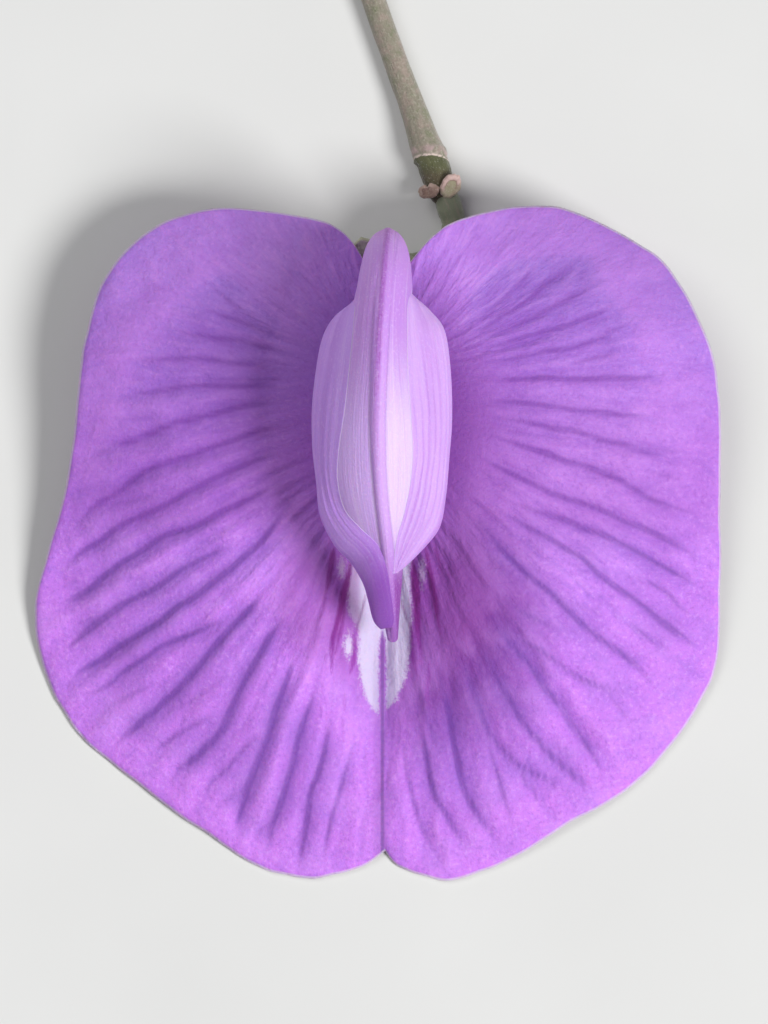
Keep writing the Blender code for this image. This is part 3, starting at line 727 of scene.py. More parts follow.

# %% [markdown]
# The banner's finish is built in layers, as a painter would. First come the lobes: a mauve ground
# that turns pinker towards the bottom and bluer at the top, the blue partly a painted reflection of
# the sky, and a deeper violet in the throat. Over them lies painted light: shade in the furrows and
# along their bottoms, highlights on the swells and pleat crests between them, shade beside the white
# guide, at the right of the throat, on the left shoulder and on the upper right lobe, and a highlight
# on the right lobe's middle. The pattern of pleats and ribs runs in angle and radius, so it fans. The
# same patterns come back as bump later, so that colour and relief agree.


# %% Colours of the lobes
def lobe_layers(recipe, place):
    x, y, _ = recipe.parts_of(place)
    side = recipe.away(x)
    radius = recipe.length(x, y)
    height = recipe.plus(y, recipe.times(recipe.noise(place, 0.22, centre=True), 6.0))
    # Mauve ground, pinker at the bottom and bluer at the top; the blue top is partly a painted reflection
    # of the sky
    ground = recipe.ramp(
        recipe.step(-22.0, 10.0, height), (0.0, paint(206, 126, 238)), (0.32, paint(198, 122, 234)),
        (0.66, paint(190, 126, 232)), (1.0, paint(174, 140, 236)),
    )
    half = recipe.sum("SIGN", x)
    angle = recipe.mark("fan")
    pleats = recipe.streaks((angle, 8.0), (radius, 0.4), (half, 3.0), detail=3.0)
    pleats = recipe.scaled(recipe.plus(pleats, -0.5), recipe.step(4.0, 9.0, radius), 0.5)
    ribs = recipe.streaks((angle, 26.0), (radius, 0.55), (half, 3.0), detail=3.0, roughness=0.6)
    fibre = recipe.times(recipe.step(4.0, 8.0, radius), recipe.step(17.5, 14.0, radius))
    upper = recipe.times(
        recipe.step(0.5, 5.5, y), recipe.step(2.2, 4.0, side), recipe.step(13.5, 8.5, radius),
        recipe.scaled(recipe.step(-1.0, 1.0, x), 0.65, 0.35),
    )
    speckle = recipe.noise(place, 4.6, 3.0, 0.6)
    grain = recipe.noise(place, 9.0, 3.0, 0.65)
    uneven = recipe.scaled(recipe.noise(place, 1.1, 3.0), 0.9, 0.45)
    # Where the painted shadow along each furrow's bottom lies, made uneven
    line = recipe.step(0.05, 0.85, recipe.times(recipe.mark("line"), uneven))
    ripple = recipe.mark("ripple")
    valley = recipe.mark("valley")
    # Distance from a painted shade on the right side of the crease, low in the throat
    from_painted_shade = recipe.length(recipe.plus(x, -3.4), recipe.times(recipe.plus(y, 11.2), 0.75))
    # Distance from two spots of painted shade, one on each side of the white guide
    from_guide_shade = recipe.length(recipe.plus(side, -3.8), recipe.times(recipe.plus(y, 10.0), 0.62))
    # Distance from a painted highlight on the right lobe's middle
    from_painted_highlight = recipe.length(recipe.plus(x, -9.0), recipe.plus(y, 3.0))
    # Where painted shade lies over the left lobe's shoulder
    left_shoulder_shade = recipe.times(
        recipe.step(-4.5, -9.5, x), recipe.step(-9.0, -3.0, y), recipe.step(8.5, 4.0, y),
    )
    ground = recipe.layer(
        ground,
        (recipe.step(0.40, 0.7, recipe.noise(place, 0.45, 3.0)), 0.35, paint(172, 116, 222)),
        # Painted highlight on the right lobe's middle
        (recipe.step(8.0, 2.0, from_painted_highlight), 0.30, paint(232, 172, 255)),
        # Painted highlight on the pleat crests and painted shade in their troughs
        (recipe.step(0.1, 1.0, ripple), 0.40, paint(216, 142, 244)),
        (recipe.step(-0.1, -1.0, ripple), 0.34, paint(150, 98, 202)),
        (recipe.step(0.52, 0.70, speckle), 0.40, paint(226, 164, 250)),
        (recipe.step(0.47, 0.30, speckle), 0.34, paint(146, 88, 192)),
        (recipe.step(0.50, 0.66, ribs), fibre, 0.26, paint(224, 160, 248)),
        (recipe.step(0.49, 0.34, ribs), fibre, 0.24, paint(146, 90, 196)),
        (recipe.step(0.49, 0.62, recipe.noise(place, 1.7, 4.0, 0.65)), 0.22, paint(162, 108, 214)),
        (recipe.step(9.0, 3.0, radius), 0.34, paint(148, 76, 180)),
        # Painted shade on the right side of the throat, next to the keel and its right wing
        (recipe.step(9.5, 3.5, radius), recipe.step(0.0, 2.5, x), 0.56, paint(130, 58, 160)),
        # Painted shade on the right side of the crease, low in the throat
        (recipe.step(7.0, 2.2, from_painted_shade), 0.84, paint(114, 48, 144)),
        # Painted shade with a bluish cast over the upper right lobe
        (recipe.step(2.5, 8.0, y), recipe.step(0.0, 7.0, x), 0.54, paint(134, 106, 184)),
        # Painted shade over the left lobe's shoulder
        (left_shoulder_shade, 0.28, paint(116, 80, 170)),
        (recipe.step(0.45, 0.75, pleats), 0.22, paint(222, 160, 250)),
        (recipe.step(0.50, 0.66, ribs), upper, 0.30, paint(212, 172, 244)),
        (recipe.step(0.48, 0.36, ribs), upper, 0.20, paint(140, 92, 186)),
        # Painted highlight on the swells between the furrows
        (recipe.step(0.34, 0.10, valley), fibre, 0.28, paint(222, 150, 248)),
        # Painted shade in the furrows
        (recipe.step(0.26, 0.95, valley), 0.50, paint(126, 78, 182)),
        # Stronger painted shade in the furrows of the left lobe
        (recipe.step(0.40, 0.95, valley), recipe.step(-3.0, -6.0, x), 0.20, paint(96, 54, 146)),
        # Painted shadow along each furrow's bottom
        (line, 0.52, paint(100, 50, 148)),
        # Painted shade on both sides of the white guide
        (recipe.step(2.7, 0.9, from_guide_shade), 0.48, paint(119, 24, 134)),
    )
    rib_share = recipe.plus(recipe.times(fibre, 0.22), recipe.times(upper, 0.12))
    folds = recipe.plus(pleats, recipe.times(ribs, rib_share))
    velvet = recipe.plus(speckle, recipe.times(grain, 0.5))
    return ground, folds, velvet, recipe.scaled(grain, 0.2, 0.48)


# The violet printed here is the colour of that painted shade low in the throat
print("the throat's violet in linear light:", [round(c, 3) for c in paint(114, 48, 144)])

# %% [markdown]
# Over the lobes lie the markings: the white guide with its frayed edge, the magenta streaks and a
# pale line along the margin, and with them painted shade along the crease. The mesh says where they
# are, and a noise that is drawn out along the petal frays them, since a clean edge looks printed.


# %% Colours of the markings
def marking_layers(recipe, place, ground):
    x, y, _ = recipe.parts_of(place)
    fray = recipe.streaks((x, 6.0), (y, 2.6), detail=4.0, roughness=0.7, centre=True)
    dots = recipe.noise(place, 7.0, 3.0, 0.7, centre=True)
    patch = recipe.mark("guide")
    guide = recipe.plus(patch, recipe.plus(recipe.times(fray, 0.50), recipe.times(dots, 0.50)))
    white = recipe.layer(
        paint(214, 200, 232),
        (recipe.step(1.15, 1.5, recipe.away(x)), recipe.step(-12.6, -11.2, y), 0.9, paint(196, 160, 210)),
        (recipe.step(0.50, 0.66, fray), 0.4, paint(186, 168, 218)),
    )
    smear = recipe.streaks((x, 14.0), (y, 1.3), detail=4.0, roughness=0.7, centre=True)
    streak = recipe.step(-0.10, 0.10, recipe.plus(recipe.mark("streak"), recipe.times(smear, 0.26)))
    magenta = recipe.mix(recipe.step(-10.0, -13.5, y), paint(126, 30, 128), paint(142, 46, 162))
    from_crease = recipe.away(x, CREASE_PLACE)
    return recipe.layer(
        ground,
        (recipe.step(-1.0, -0.1, patch), recipe.step(-16.0, -12.5, y), 0.55, paint(150, 62, 172)),
        (recipe.step(-0.12, 0.20, guide), 0.94, white),
        (streak, recipe.mark("streak_strength"), 0.88, magenta),
        # Painted shade along the crease: a broad soft band and a narrow dark line at its bottom
        (recipe.step(0.75, 0.10, from_crease), recipe.step(-10.5, -15.5, y), 0.42, paint(120, 66, 160)),
        (recipe.step(0.15, 0.03, from_crease), recipe.step(-10.5, -12.5, y), 0.60, paint(92, 56, 128)),
        (recipe.step(0.16, 0.05, recipe.mark("edge")), 0.65, paint(222, 214, 226)),
    )


print("the white guide is", GUIDE_LEFT[0][0] - GUIDE_LEFT[-2][0], "mm long on the left")

# %% [markdown]
# Now both sets of coats meet in one finish, with the folds and a fine velvet of cells as bump. The
# back is paler and plainer, because it is never seen in full light, and the rim shows bare tissue.


# %% Finishes of the banner
def banner_finish():
    recipe = Recipe("banner face")
    place = recipe.place()
    ground, folds, velvet, rough = lobe_layers(recipe, place)
    ground = marking_layers(recipe, place, ground)
    normal = recipe.bump(velvet, 0.045, 1.0, recipe.bump(folds, 0.30))
    return recipe.finish(ground, rough, normal, **PETAL_LIGHT)


def banner_back_finish():
    recipe = Recipe("banner back")
    place = recipe.place()
    x, y, _ = recipe.parts_of(place)
    side = recipe.away(x)
    angle = recipe.sum("ARCTAN2", recipe.plus(y, -1.0), side)
    veins = recipe.streaks((angle, 22.0), (y, 0.08), (side, 0.1), detail=3.0)
    grain = recipe.noise(place, 6.0, 3.0, 0.6)
    ground = recipe.layer(
        paint(198, 160, 218),
        (recipe.step(7.0, 0.5, side), 0.6, paint(206, 200, 190)),
        (recipe.step(0.5, 0.65, veins), 0.35, paint(168, 124, 196)),
        (recipe.step(0.1, 0.8, recipe.mark("valley")), 0.5, paint(150, 104, 178)),
        (grain, 0.3, paint(224, 208, 230)),
    )
    normal = recipe.bump(grain, 0.03, 1.0, recipe.bump(veins, 0.08))
    return recipe.finish(ground, 0.65, normal, **{**PETAL_LIGHT, "Sheen_Weight": 0.5})


def rim_finish(name, scale, light, dark):
    recipe = Recipe(name)
    grain = recipe.noise(recipe.place(), scale, 2.0)
    return recipe.finish(recipe.mix(grain, light, dark), 0.6, recipe.bump(grain, 0.02))


banner_face = banner_finish()
banner_back = banner_back_finish()
petal_rim = rim_finish("petal rim", 3.0, paint(214, 214, 206), paint(208, 186, 222))
print("nodes:", {skin.name: len(skin.node_tree.nodes) for skin in (banner_face, banner_back, petal_rim)})

# %% [markdown]
# Now the grid is bent to the banner. One direction of the grid goes round the margin and the other
# runs out along the rays, so the quads are finest in the middle, where the markings are.

# %% Model the banner
BANNER_RAYS = 572
BANNER_RINGS = 82
BANNER_WALL = 0.17
TABLE_GAP = 0.02
RING_EASE = 0.86
MARGIN_RAGGED = 0.0022
DRIFT = 0.12
MARGIN_CURL = 0.10


def banner_places(around, out):
    left = around <= 0.5
    place = np.where(left, 2.0 * around, 2.0 - 2.0 * around)
    margin = np.where(left[:, None], through(LEFT_MARGIN, place), through(RIGHT_MARGIN, place))
    ragged = 1.0 + MARGIN_RAGGED * wander(place * 110.0, 7.0, 5) * soft_step(0.02, 0.08, place)
    return place, out**RING_EASE, margin * ragged[:, None]


def bend_banner(around, out):
    place, reach, margin = banner_places(around, out)
    x, y = (margin * reach[:, None]).T
    claw = soft_step(CLAW_FROM, CLAW_FULL, place)
    valley, _ = furrow_field(x, y)
    calm = soft_step(1.005, 0.955, reach) * (1.0 - claw)
    z = face_height(x, y) - FURROW_DEPTH * calm * valley + RIPPLE_HEIGHT * calm * ripple_field(x, y)
    drift = wander(x + 0.4 * y, 6.5, 21) * wander(y - 0.3 * x, 7.5, 22)
    z += DRIFT * calm * drift * soft_step(4.0, 9.0, np.hypot(x, y))
    z -= MARGIN_CURL * soft_step(0.985, 1.0, reach)
    beyond = np.maximum(y - CLAW_START, 0.0)
    claw_z = face_height(x, np.full_like(x, CLAW_START)) - CLAW_DIVE * beyond
    z += claw * np.where(y > CLAW_START, claw_z - z, 0.0)
    y += claw * (CLAW_RISE - 1.0) * beyond
    return np.stack((x, y, np.maximum(z, over_table(y, BANNER_WALL + TABLE_GAP))), axis=1)


def mark_banner(around, out, points):
    _, reach, margin = banner_places(around, out)
    x, y, _ = points.T
    valley, line = furrow_field(x, y)
    streak, strong = streak_field(x, y)
    calm = soft_step(1.0, 0.97, reach)
    return {
        "valley": valley * calm, "line": line * calm, "ripple": ripple_field(x, y) * calm,
        "guide": guide_field(x, y), "streak": streak, "streak_strength": strong, "fan": fan_angle(x, y),
        "edge": (1.0 - reach) * np.hypot(margin[:, 0], margin[:, 1]),
    }


banner_shape = bend_grid(BANNER_RAYS, BANNER_RINGS, bend_banner, mark_banner)
look_towards(banner_shape, (0, 0, 1))
banner_skins = (banner_face, banner_back, petal_rim)
settle("banner_petal", banner_shape, banner_skins, "standard_petal", BANNER_WALL)

# %% [markdown]
# The keel is the boat of two petals grown together that stands out of the flower's middle. It rises
# from the calyx, arches forward and comes down to a small point. Each station gives its ridge line,
# how wide it is to the left and to the right, and how deep its flanks are. Low down the flanks turn
# from round to roof-like, and the suture where the two petals meet stands up as a rounded band.

# %% Shape of the keel
KEEL_STATIONS = (
    (0.0, 7.3, -3.1, 0.35, 0.35, 0.15),
    (0.1, 8.05, -1.3, 0.75, 0.75, 0.6),
    (0.16, 9.40, 1.0, 1.30, 1.14, 2.2),
    (0.12, 9.02, 3.3, 1.48, 1.30, 2.8),
    (-0.02, 7.6, 5.2, 1.50, 1.42, 2.7),
    (-0.22, 5.2, 6.4, 1.65, 1.55, 2.6),
    (-0.38, 2.2, 7.0, 1.95, 1.9, 2.7),
    (-0.45, -1.0, 6.9, 2.35, 2.35, 2.8),
    (-0.30, -4.2, 6.1, 2.55, 2.15, 2.6),
    (0.05, -7.2, 4.6, 1.95, 1.10, 1.9),
    (0.30, -9.8, 2.7, 0.82, 0.57, 0.9),
    (0.40, -12.15, 0.6, 0.28, 0.28, 0.35),
)
KEEL_WIDTHS = 96
KEEL_LENGTHS = 240
KEEL_WALL = 0.14
ROOF_SHARE = 0.30
RIDGE_HEIGHT = 0.22
RIDGE_MIDDLE = 0.07
RIDGE_PLACES = (0.40, 0.455, 0.545, 0.636, 0.727, 0.818, 0.909, 1.0)
RIDGE_WIDTHS = (0.40, 0.44, 0.44, 0.42, 0.35, 0.33, 0.27, 0.12)
TOP_BLUNTNESS = 0.88
BAND_LENGTHS = (0.36, 0.52)
MIDRIB_HEIGHT = 0.10
MIDRIB_LENGTHS = (0.05, 0.16)
KEEL_RIPPLE = 0.022
KEEL_STEP = 0.01


def keel_offset(across, length):
    _, _, _, left, right, _ = through(KEEL_STATIONS, length).T
    turn = (across - 0.5) * math.pi
    blunt = TOP_BLUNTNESS + (1.0 - TOP_BLUNTNESS) * soft_step(0.3, 0.5, length)
    return np.where(turn > 0.0, right, left) * np.sign(turn) * np.abs(np.sin(turn)) ** blunt, blunt, turn


# How far inside the ridge's band a place lies, and how strongly the band stands out there
def ridge_band(offset, length):
    half = np.interp(length, RIDGE_PLACES, RIDGE_WIDTHS)
    return half - np.abs(offset - RIDGE_MIDDLE), half, soft_step(*BAND_LENGTHS, length)


def bend_keel(across, length):
    x, y, z, _, _, depth = through(KEEL_STATIONS, length).T
    ahead = through(KEEL_STATIONS, length + KEEL_STEP) - through(KEEL_STATIONS, length - KEEL_STEP)
    ahead = ahead[:, 1:3] / np.linalg.norm(ahead[:, 1:3], axis=1)[:, None]
    offset, blunt, turn = keel_offset(across, length)
    roof = ROOF_SHARE * soft_step(0.36, 0.60, length) * soft_step(1.0, 0.9, length)
    slope = np.hypot(np.sin(turn), 0.08) - 0.08
    fall = depth * ((1.0 - roof) * (1.0 - np.maximum(np.cos(turn), 0.0) ** blunt) + roof * slope)
    _, half, strong = ridge_band(offset, length)
    arch = np.sqrt(np.clip(1.0 - ((offset - RIDGE_MIDDLE) / half) ** 2, 0.0, 1.0))
    raised = RIDGE_HEIGHT * arch * strong * soft_step(1.0, 0.9, length)
    raised += MIDRIB_HEIGHT * bell(offset, 0.22) * soft_step(*MIDRIB_LENGTHS, length) * (1.0 - strong)
    raised += KEEL_RIPPLE * wander(offset, 0.55, 31) * wander(length * 20.0, 9.0, 32)
    inward = fall - raised
    return np.stack((x + offset, y - ahead[:, 1] * inward, z + ahead[:, 0] * inward), axis=1)


def mark_keel(across, length, points):
    offset, _, _ = keel_offset(across, length)
    inside, _, strong = ridge_band(offset, length)
    return {"offset": offset, "length": length, "across": across, "band": inside, "band_strength": strong}


print("the keel is at most", max(left + right for *_, left, right, _ in KEEL_STATIONS), "mm across")

# %% [markdown]
# The keel is paler than the banner, rosy at its top, with a magenta stripe down the front, a soft
# violet band along the suture, darker on its left side as painted shade, and a deep violet point. All
# of this follows the petal, so the patterns run in the marks that the mesh carries, and a noise drawn
# out along the keel gives it its grain.

# %% Finish and build the keel
def keel_finish():
    recipe = Recipe("keel skin")
    place = recipe.place()
    offset = recipe.mark("offset")
    length = recipe.mark("length")
    across = recipe.mark("across")
    streaks = recipe.streaks((across, 34.0), (length, 3.0), detail=3.0, roughness=0.6)
    fine = recipe.streaks((across, 90.0), (length, 9.0), centre=True)
    grain = recipe.noise(place, 7.0, 3.0, 0.6)
    pale = recipe.step(0.45, 0.66, length)
    left = recipe.step(-0.15, -0.5, offset)
    right_ground = recipe.mix(pale, paint(196, 140, 226), paint(224, 196, 240))
    left_ground = recipe.mix(pale, paint(198, 144, 228), paint(214, 174, 244))
    wavy = recipe.plus(offset, recipe.times(recipe.noise(place, 1.3, 3.0, centre=True), 0.16))
    uneven = recipe.noise(place, 2.0, 2.0, centre=True)
    band = recipe.plus(recipe.mark("band"), recipe.times(uneven, 0.05))
    strong = recipe.mark("band_strength")
    top = recipe.step(1.2, 0.4, recipe.away(offset))
    on_band = recipe.times(recipe.step(-0.02, 0.05, band), strong)
    spots = recipe.scaled(recipe.step(0.52, 0.64, recipe.noise(place, 5.0, 2.0)), 0.3, 0.7)
    stripe = recipe.times(recipe.step(0.26, 0.04, recipe.away(wavy)), recipe.step(0.80, 0.50, length))
    flank = recipe.step(0.08, 0.0, recipe.away(wavy, 0.55))
    margin = recipe.step(0.045, 0.0, recipe.sum("MINIMUM", across, recipe.minus(1.0, across)))
    ground = recipe.layer(
        recipe.mix(left, right_ground, left_ground),
        (recipe.step(0.50, 0.72, streaks), 0.30, paint(182, 122, 216)),
        (recipe.step(0.46, 0.28, streaks), 0.30, paint(238, 216, 248)),
        (recipe.step(0.29, 0.20, length), top, 0.6, paint(180, 98, 194)),
        (on_band, 0.66, paint(198, 142, 230)),
        # Painted shade on the left side of the suture's band
        (recipe.step(-0.03, -0.30, offset), on_band, 0.42, paint(166, 112, 208)),
        (recipe.step(0.40, 0.60, fine), on_band, 0.4, paint(226, 190, 244)),
        (recipe.step(0.07, 0.0, recipe.away(band)), strong, 0.34, paint(150, 92, 182)),
        (stripe, spots, 0.72, paint(152, 72, 176)),
        (flank, recipe.step(0.46, 0.30, length), 0.4, paint(160, 104, 200)),
        (recipe.step(0.76, 0.93, length), 0.80, paint(158, 86, 190)),
        (recipe.step(0.84, 0.90, length), recipe.step(0.16, 0.30, offset), 0.8, paint(138, 52, 158)),
        (margin, 0.8, paint(234, 224, 240)),
        (recipe.step(0.50, 0.75, grain), 0.22, paint(246, 226, 255)),
    )
    normal = recipe.bump(recipe.plus(streaks, recipe.times(fine, 0.5)), 0.07, 0.8)
    normal = recipe.bump(grain, 0.03, 0.8, normal)
    return recipe.finish(ground, recipe.scaled(grain, 0.15, 0.42), normal, **PETAL_LIGHT)


keel_skin = keel_finish()
keel_shape = bend_grid(KEEL_WIDTHS, KEEL_LENGTHS, bend_keel, mark_keel)
look_towards(keel_shape, (0, 0, 1))
keel_surface = BVHTree.FromBMesh(keel_shape)
settle("keel_petals", keel_shape, (keel_skin, petal_rim), "keel", KEEL_WALL)

# %% [markdown]
# The two wings hug the keel. Each is a sheet between an inner edge, which lies on the keel's flank,
# and an outer edge, which stands off the banner. The inner edge is given as the face shows it, and a
# ray cast down onto the keel finds its height and the flank's slope there. A Bezier curve leaves the
# keel along that slope and ends at the outer edge, so the two petals lie flush, as pressed together.
# The left wing ends in a dark rolled beak in front of the keel's point.

# %% Shape of the wings
LEFT_WING = (
    (-0.80, 7.2, -2.7, -0.82, 6.85, -2.7),
    (-0.80, 7.1, -0.8, -0.88, 6.6, -0.9),
    (-1.05, 6.4, 1.2, -1.22, 5.95, 1.1),
    (-1.48, 5.95, 3.2, -1.66, 5.60, 2.6),
    (-1.57, 5.3, 5.0, -2.62, 4.88, 2.5),
    (-1.68, 4.0, 5.3, -3.26, 3.75, 2.4),
    (-1.88, 2.0, 5.6, -3.60, 1.9, 2.3),
    (-2.10, 0.0, 5.4, -3.77, -0.1, 2.2),
    (-2.40, -2.0, 5.2, -3.74, -2.0, 2.2),
    (-2.47, -3.7, 5.0, -3.55, -3.8, 2.2),
    (-2.10, -5.2, 4.9, -3.38, -5.5, 2.2),
    (-1.25, -6.2, 4.9, -2.61, -7.1, 2.35),
    (-0.35, -7.1, 4.7, -1.80, -7.95, 2.3),
    (0.10, -8.3, 4.1, -1.15, -9.0, 2.05),
    (0.32, -9.6, 3.2, -0.86, -9.95, 1.6),
    (0.44, -10.5, 2.8, -0.66, -10.8, 1.15),
    (0.48, -11.0, 2.5, -0.48, -11.2, 0.95),
    (0.36, -11.38, 2.4, -0.22, -11.47, 0.95),
)
RIGHT_WING = (
    (0.80, 7.2, -2.7, 0.82, 6.85, -2.7),
    (0.80, 7.1, -0.8, 0.88, 6.6, -0.9),
    (1.05, 6.5, 1.2, 1.25, 6.1, 1.1),
    (1.28, 6.1, 3.4, 1.60, 5.85, 2.5),
    (1.17, 5.2, 5.2, 2.40, 5.15, 2.5),
    (1.17, 4.0, 5.6, 3.12, 4.1, 2.5),
    (1.20, 2.0, 5.8, 3.42, 1.95, 2.4),
    (1.36, -0.4, 5.6, 3.48, -0.5, 2.3),
    (1.45, -2.4, 5.3, 3.34, -2.5, 2.3),
    (1.28, -4.1, 5.3, 3.18, -4.4, 2.3),
    (0.98, -5.5, 5.1, 2.86, -6.1, 2.5),
    (0.62, -6.7, 4.8, 2.05, -7.2, 2.8),
    (0.50, -7.8, 4.4, 1.15, -8.1, 3.1),
    (0.48, -8.55, 3.7, 0.66, -8.50, 3.5),
)
WING_WIDTHS = 56
WING_LENGTHS = 220
WING_WALL = 0.12
WING_LIFT = 0.04
LANDING = (0.19, 0.27)
RAY_START = 20.0
CALM_STEPS = 9
INNER_PULL = 0.34
OUTER_PULL = 0.40
OUTER_WAY = (0.14, 0.99)
BEAK_FROM, BEAK_FULL = 0.60, 0.76
BEAK_PULL = 0.16
BEAK_WAY = (0.50, 0.16)
WING_BOW = (0.06, 0.16)
RIB_HEIGHT = 0.025
VEIN_WIDTH = 0.017
VEIN_WAVER = 0.018
VEIN_SEED = 60


# Smooths each column of heights and ways along the edge, so that small ripples of the keel vanish
def calm_along(values):
    kernel = np.hanning(CALM_STEPS + 2)[1:-1]
    kernel /= kernel.sum()
    padded = np.pad(values, ((CALM_STEPS // 2, CALM_STEPS // 2), (0, 0)), mode="edge")
    return np.stack([np.convolve(column, kernel, "valid") for column in padded.T], axis=1)


# Heights of the wing's inner edge on the keel, with the way that the keel's flank falls off there
def land_on_keel(points, side):
    heights = points[:, 2:].copy()
    ways = np.tile((side * 0.5, 0.0, -0.87), (len(points), 1))
    missed = 0
    for number, (x, y, _) in enumerate(points):
        spot, normal, _, _ = keel_surface.ray_cast(Vector((x, y, RAY_START)), Vector((0, 0, -1)))
        if spot is None:
            missed += 1
            continue
        heights[number, 0] = spot.z
        way = Vector((side, 0.0, -1.0))
        ways[number] = (way - way.dot(normal) * normal).normalized()
    print("rays that missed the keel:", missed, "of", len(points))
    return calm_along(heights), calm_along(ways)


# Bezier curves from an inner to an outer point, each with the two points that pull it
def bezier(inner, first, second, outer, share):
    back = 1 - share
    return back**3 * inner + 3 * back**2 * share * first + 3 * back * share**2 * second + share**3 * outer


def bend_wing(stations, side):
    def bend(across, length):
        levels, which = np.unique(length.round(6), return_inverse=True)
        row = through(stations, levels)
        inner, outer = row[:, :3].copy(), row[:, 3:]
        heights, ways = land_on_keel(inner, side)
        landing = soft_step(*LANDING, levels)
        inner[:, 2] += (heights[:, 0] - inner[:, 2]) * landing + WING_LIFT
        width = np.linalg.norm(outer - inner, axis=1)[:, None]
        beak = soft_step(BEAK_FROM, BEAK_FULL, levels)[:, None] * (side < 0.0)
        bulge = np.array((side * BEAK_WAY[0], 0.0, BEAK_WAY[1]))
        rise = np.array((side * OUTER_WAY[0], 0.0, OUTER_WAY[1]))
        first = inner + (ways * (1.0 - beak) + bulge * beak) * width * INNER_PULL
        second = outer + rise * width * (OUTER_PULL + BEAK_PULL * beak)
        point = bezier(inner[which], first[which], second[which], outer[which], across[:, None])
        bow = np.sin(math.pi * across) * soft_step(0.3, 0.4, length) * soft_step(1.0, 0.92, length)
        smooth = 1.0 - soft_step(0.56, 0.70, length) * (side < 0.0)
        ribs = RIB_HEIGHT * wander(across * 3.0 + 0.2 * length, 0.5, 41) * bow * smooth
        point[:, 0] += side * (WING_BOW[0] * bow + ribs)
        point[:, 2] += WING_BOW[1] * bow + ribs
        return point

    return bend


def mark_wing(vein_places):
    def mark(across, length, points):
        veins = np.zeros_like(across)
        for number, (place, start, strength) in enumerate(vein_places):
            middle = place + VEIN_WAVER * wander(length * 10.0, 3.1, VEIN_SEED + number)
            line = bell(across - middle, VEIN_WIDTH) * soft_step(start - 0.08, start + 0.08, length)
            veins = np.maximum(veins, strength * line)
        return {"across": across, "length": length, "veins": veins}

    return mark


print("the left wing runs from", LEFT_WING[0][1], "to", LEFT_WING[-1][1], "mm along the face")

# %% [markdown]
# Both wings share one finish with their own colours: fine streaks along the petal, a few stronger
# veins, a pale rim and, on the left, a dark beak. The veins are listed, each by its place across,
# where it starts and how strong it is, because they gather on one side of the petal.

# %% Finish and build the wings
def wing_finish(name, light, shade, vein, beak):
    recipe = Recipe(name)
    place = recipe.place()
    across = recipe.mark("across")
    length = recipe.mark("length")
    waver = recipe.times(recipe.noise(place, 0.6, 2.0, centre=True), 0.08)
    lines = recipe.vector(recipe.times(recipe.plus(across, waver), 11.0), recipe.times(length, 2.0))
    streaks = recipe.noise(lines, 1.0, 4.0, 0.6)
    grain = recipe.noise(place, 7.0, 3.0, 0.6)
    dark = recipe.step(0.60, 0.80, recipe.plus(length, recipe.times(across, -0.05)))
    plain = recipe.minus(1.0, recipe.times(dark, beak))
    not_dark = recipe.minus(0.35, recipe.times(dark, 0.35))
    inner_edge = recipe.times(recipe.step(0.035, 0.0, across), not_dark)
    edge = recipe.plus(recipe.step(0.955, 0.99, across), inner_edge)
    ground = recipe.layer(
        recipe.mix(recipe.step(0.30, 0.75, recipe.noise(lines, 0.35, 2.0)), light, shade),
        (recipe.step(0.50, 0.70, streaks), 0.24, vein),
        (recipe.step(0.48, 0.30, streaks), 0.30, paint(236, 208, 250)),
        (recipe.mark("veins"), plain, 0.55, vein),
        (dark, beak, paint(130, 60, 168)),
        (recipe.step(0.50, 0.70, streaks), dark, 0.10, paint(150, 84, 188)),
        (edge, 0.55, paint(228, 206, 240)),
        (recipe.step(0.50, 0.75, grain), plain, 0.2, paint(240, 212, 255)),
    )
    normal = recipe.bump(recipe.times(streaks, plain), 0.05, 0.8)
    normal = recipe.bump(grain, 0.03, 0.8, normal)
    return recipe.finish(ground, recipe.scaled(grain, 0.15, 0.42), normal, **PETAL_LIGHT)


LEFT_VEINS = ((0.22, 0.35, 0.25), (0.42, 0.42, 0.35), (0.62, 0.40, 0.25), (0.80, 0.45, 0.2))
RIGHT_VEINS = (
    (0.08, 0.50, 0.6), (0.20, 0.50, 0.8), (0.31, 0.42, 0.8), (0.42, 0.48, 0.8), (0.52, 0.40, 0.5),
    (0.64, 0.52, 0.5), (0.78, 0.55, 0.3),
)
# The left wing's colours are a little darker than the right's: partly its own tone, partly painted shade
# on the side turned from the lamp
WING_LOOKS = (
    (
        "left_wing_petal", "wing_left", LEFT_WING, LEFT_VEINS, -1.0,
        (paint(200, 152, 238), paint(184, 132, 224), paint(156, 98, 200), 0.85),
    ),
    (
        "right_wing_petal", "wing_right", RIGHT_WING, RIGHT_VEINS, 1.0,
        (paint(212, 168, 236), paint(200, 150, 228), paint(164, 96, 200), 0.10),
    ),
)
for name, node, stations, vein_places, side, colours in WING_LOOKS:
    skin = wing_finish(name + " skin", *colours)
    wing_shape = bend_grid(WING_WIDTHS, WING_LENGTHS, bend_wing(stations, side), mark_wing(vein_places))
    look_towards(wing_shape, (side, 0, 1))
    settle(name, wing_shape, (skin, petal_rim), node, WING_WALL)

# %% [markdown]
# The calyx is the green cup that the petals grow out of. It is turned about its own axis, so its grid
# is bent round a circle, and its upper edge runs out into five teeth that flare back behind the
# petals. Two leaflets, the bracteoles, clasp it from below. They are pressed with fine parallel
# nerves, which is how one knows them from the calyx.

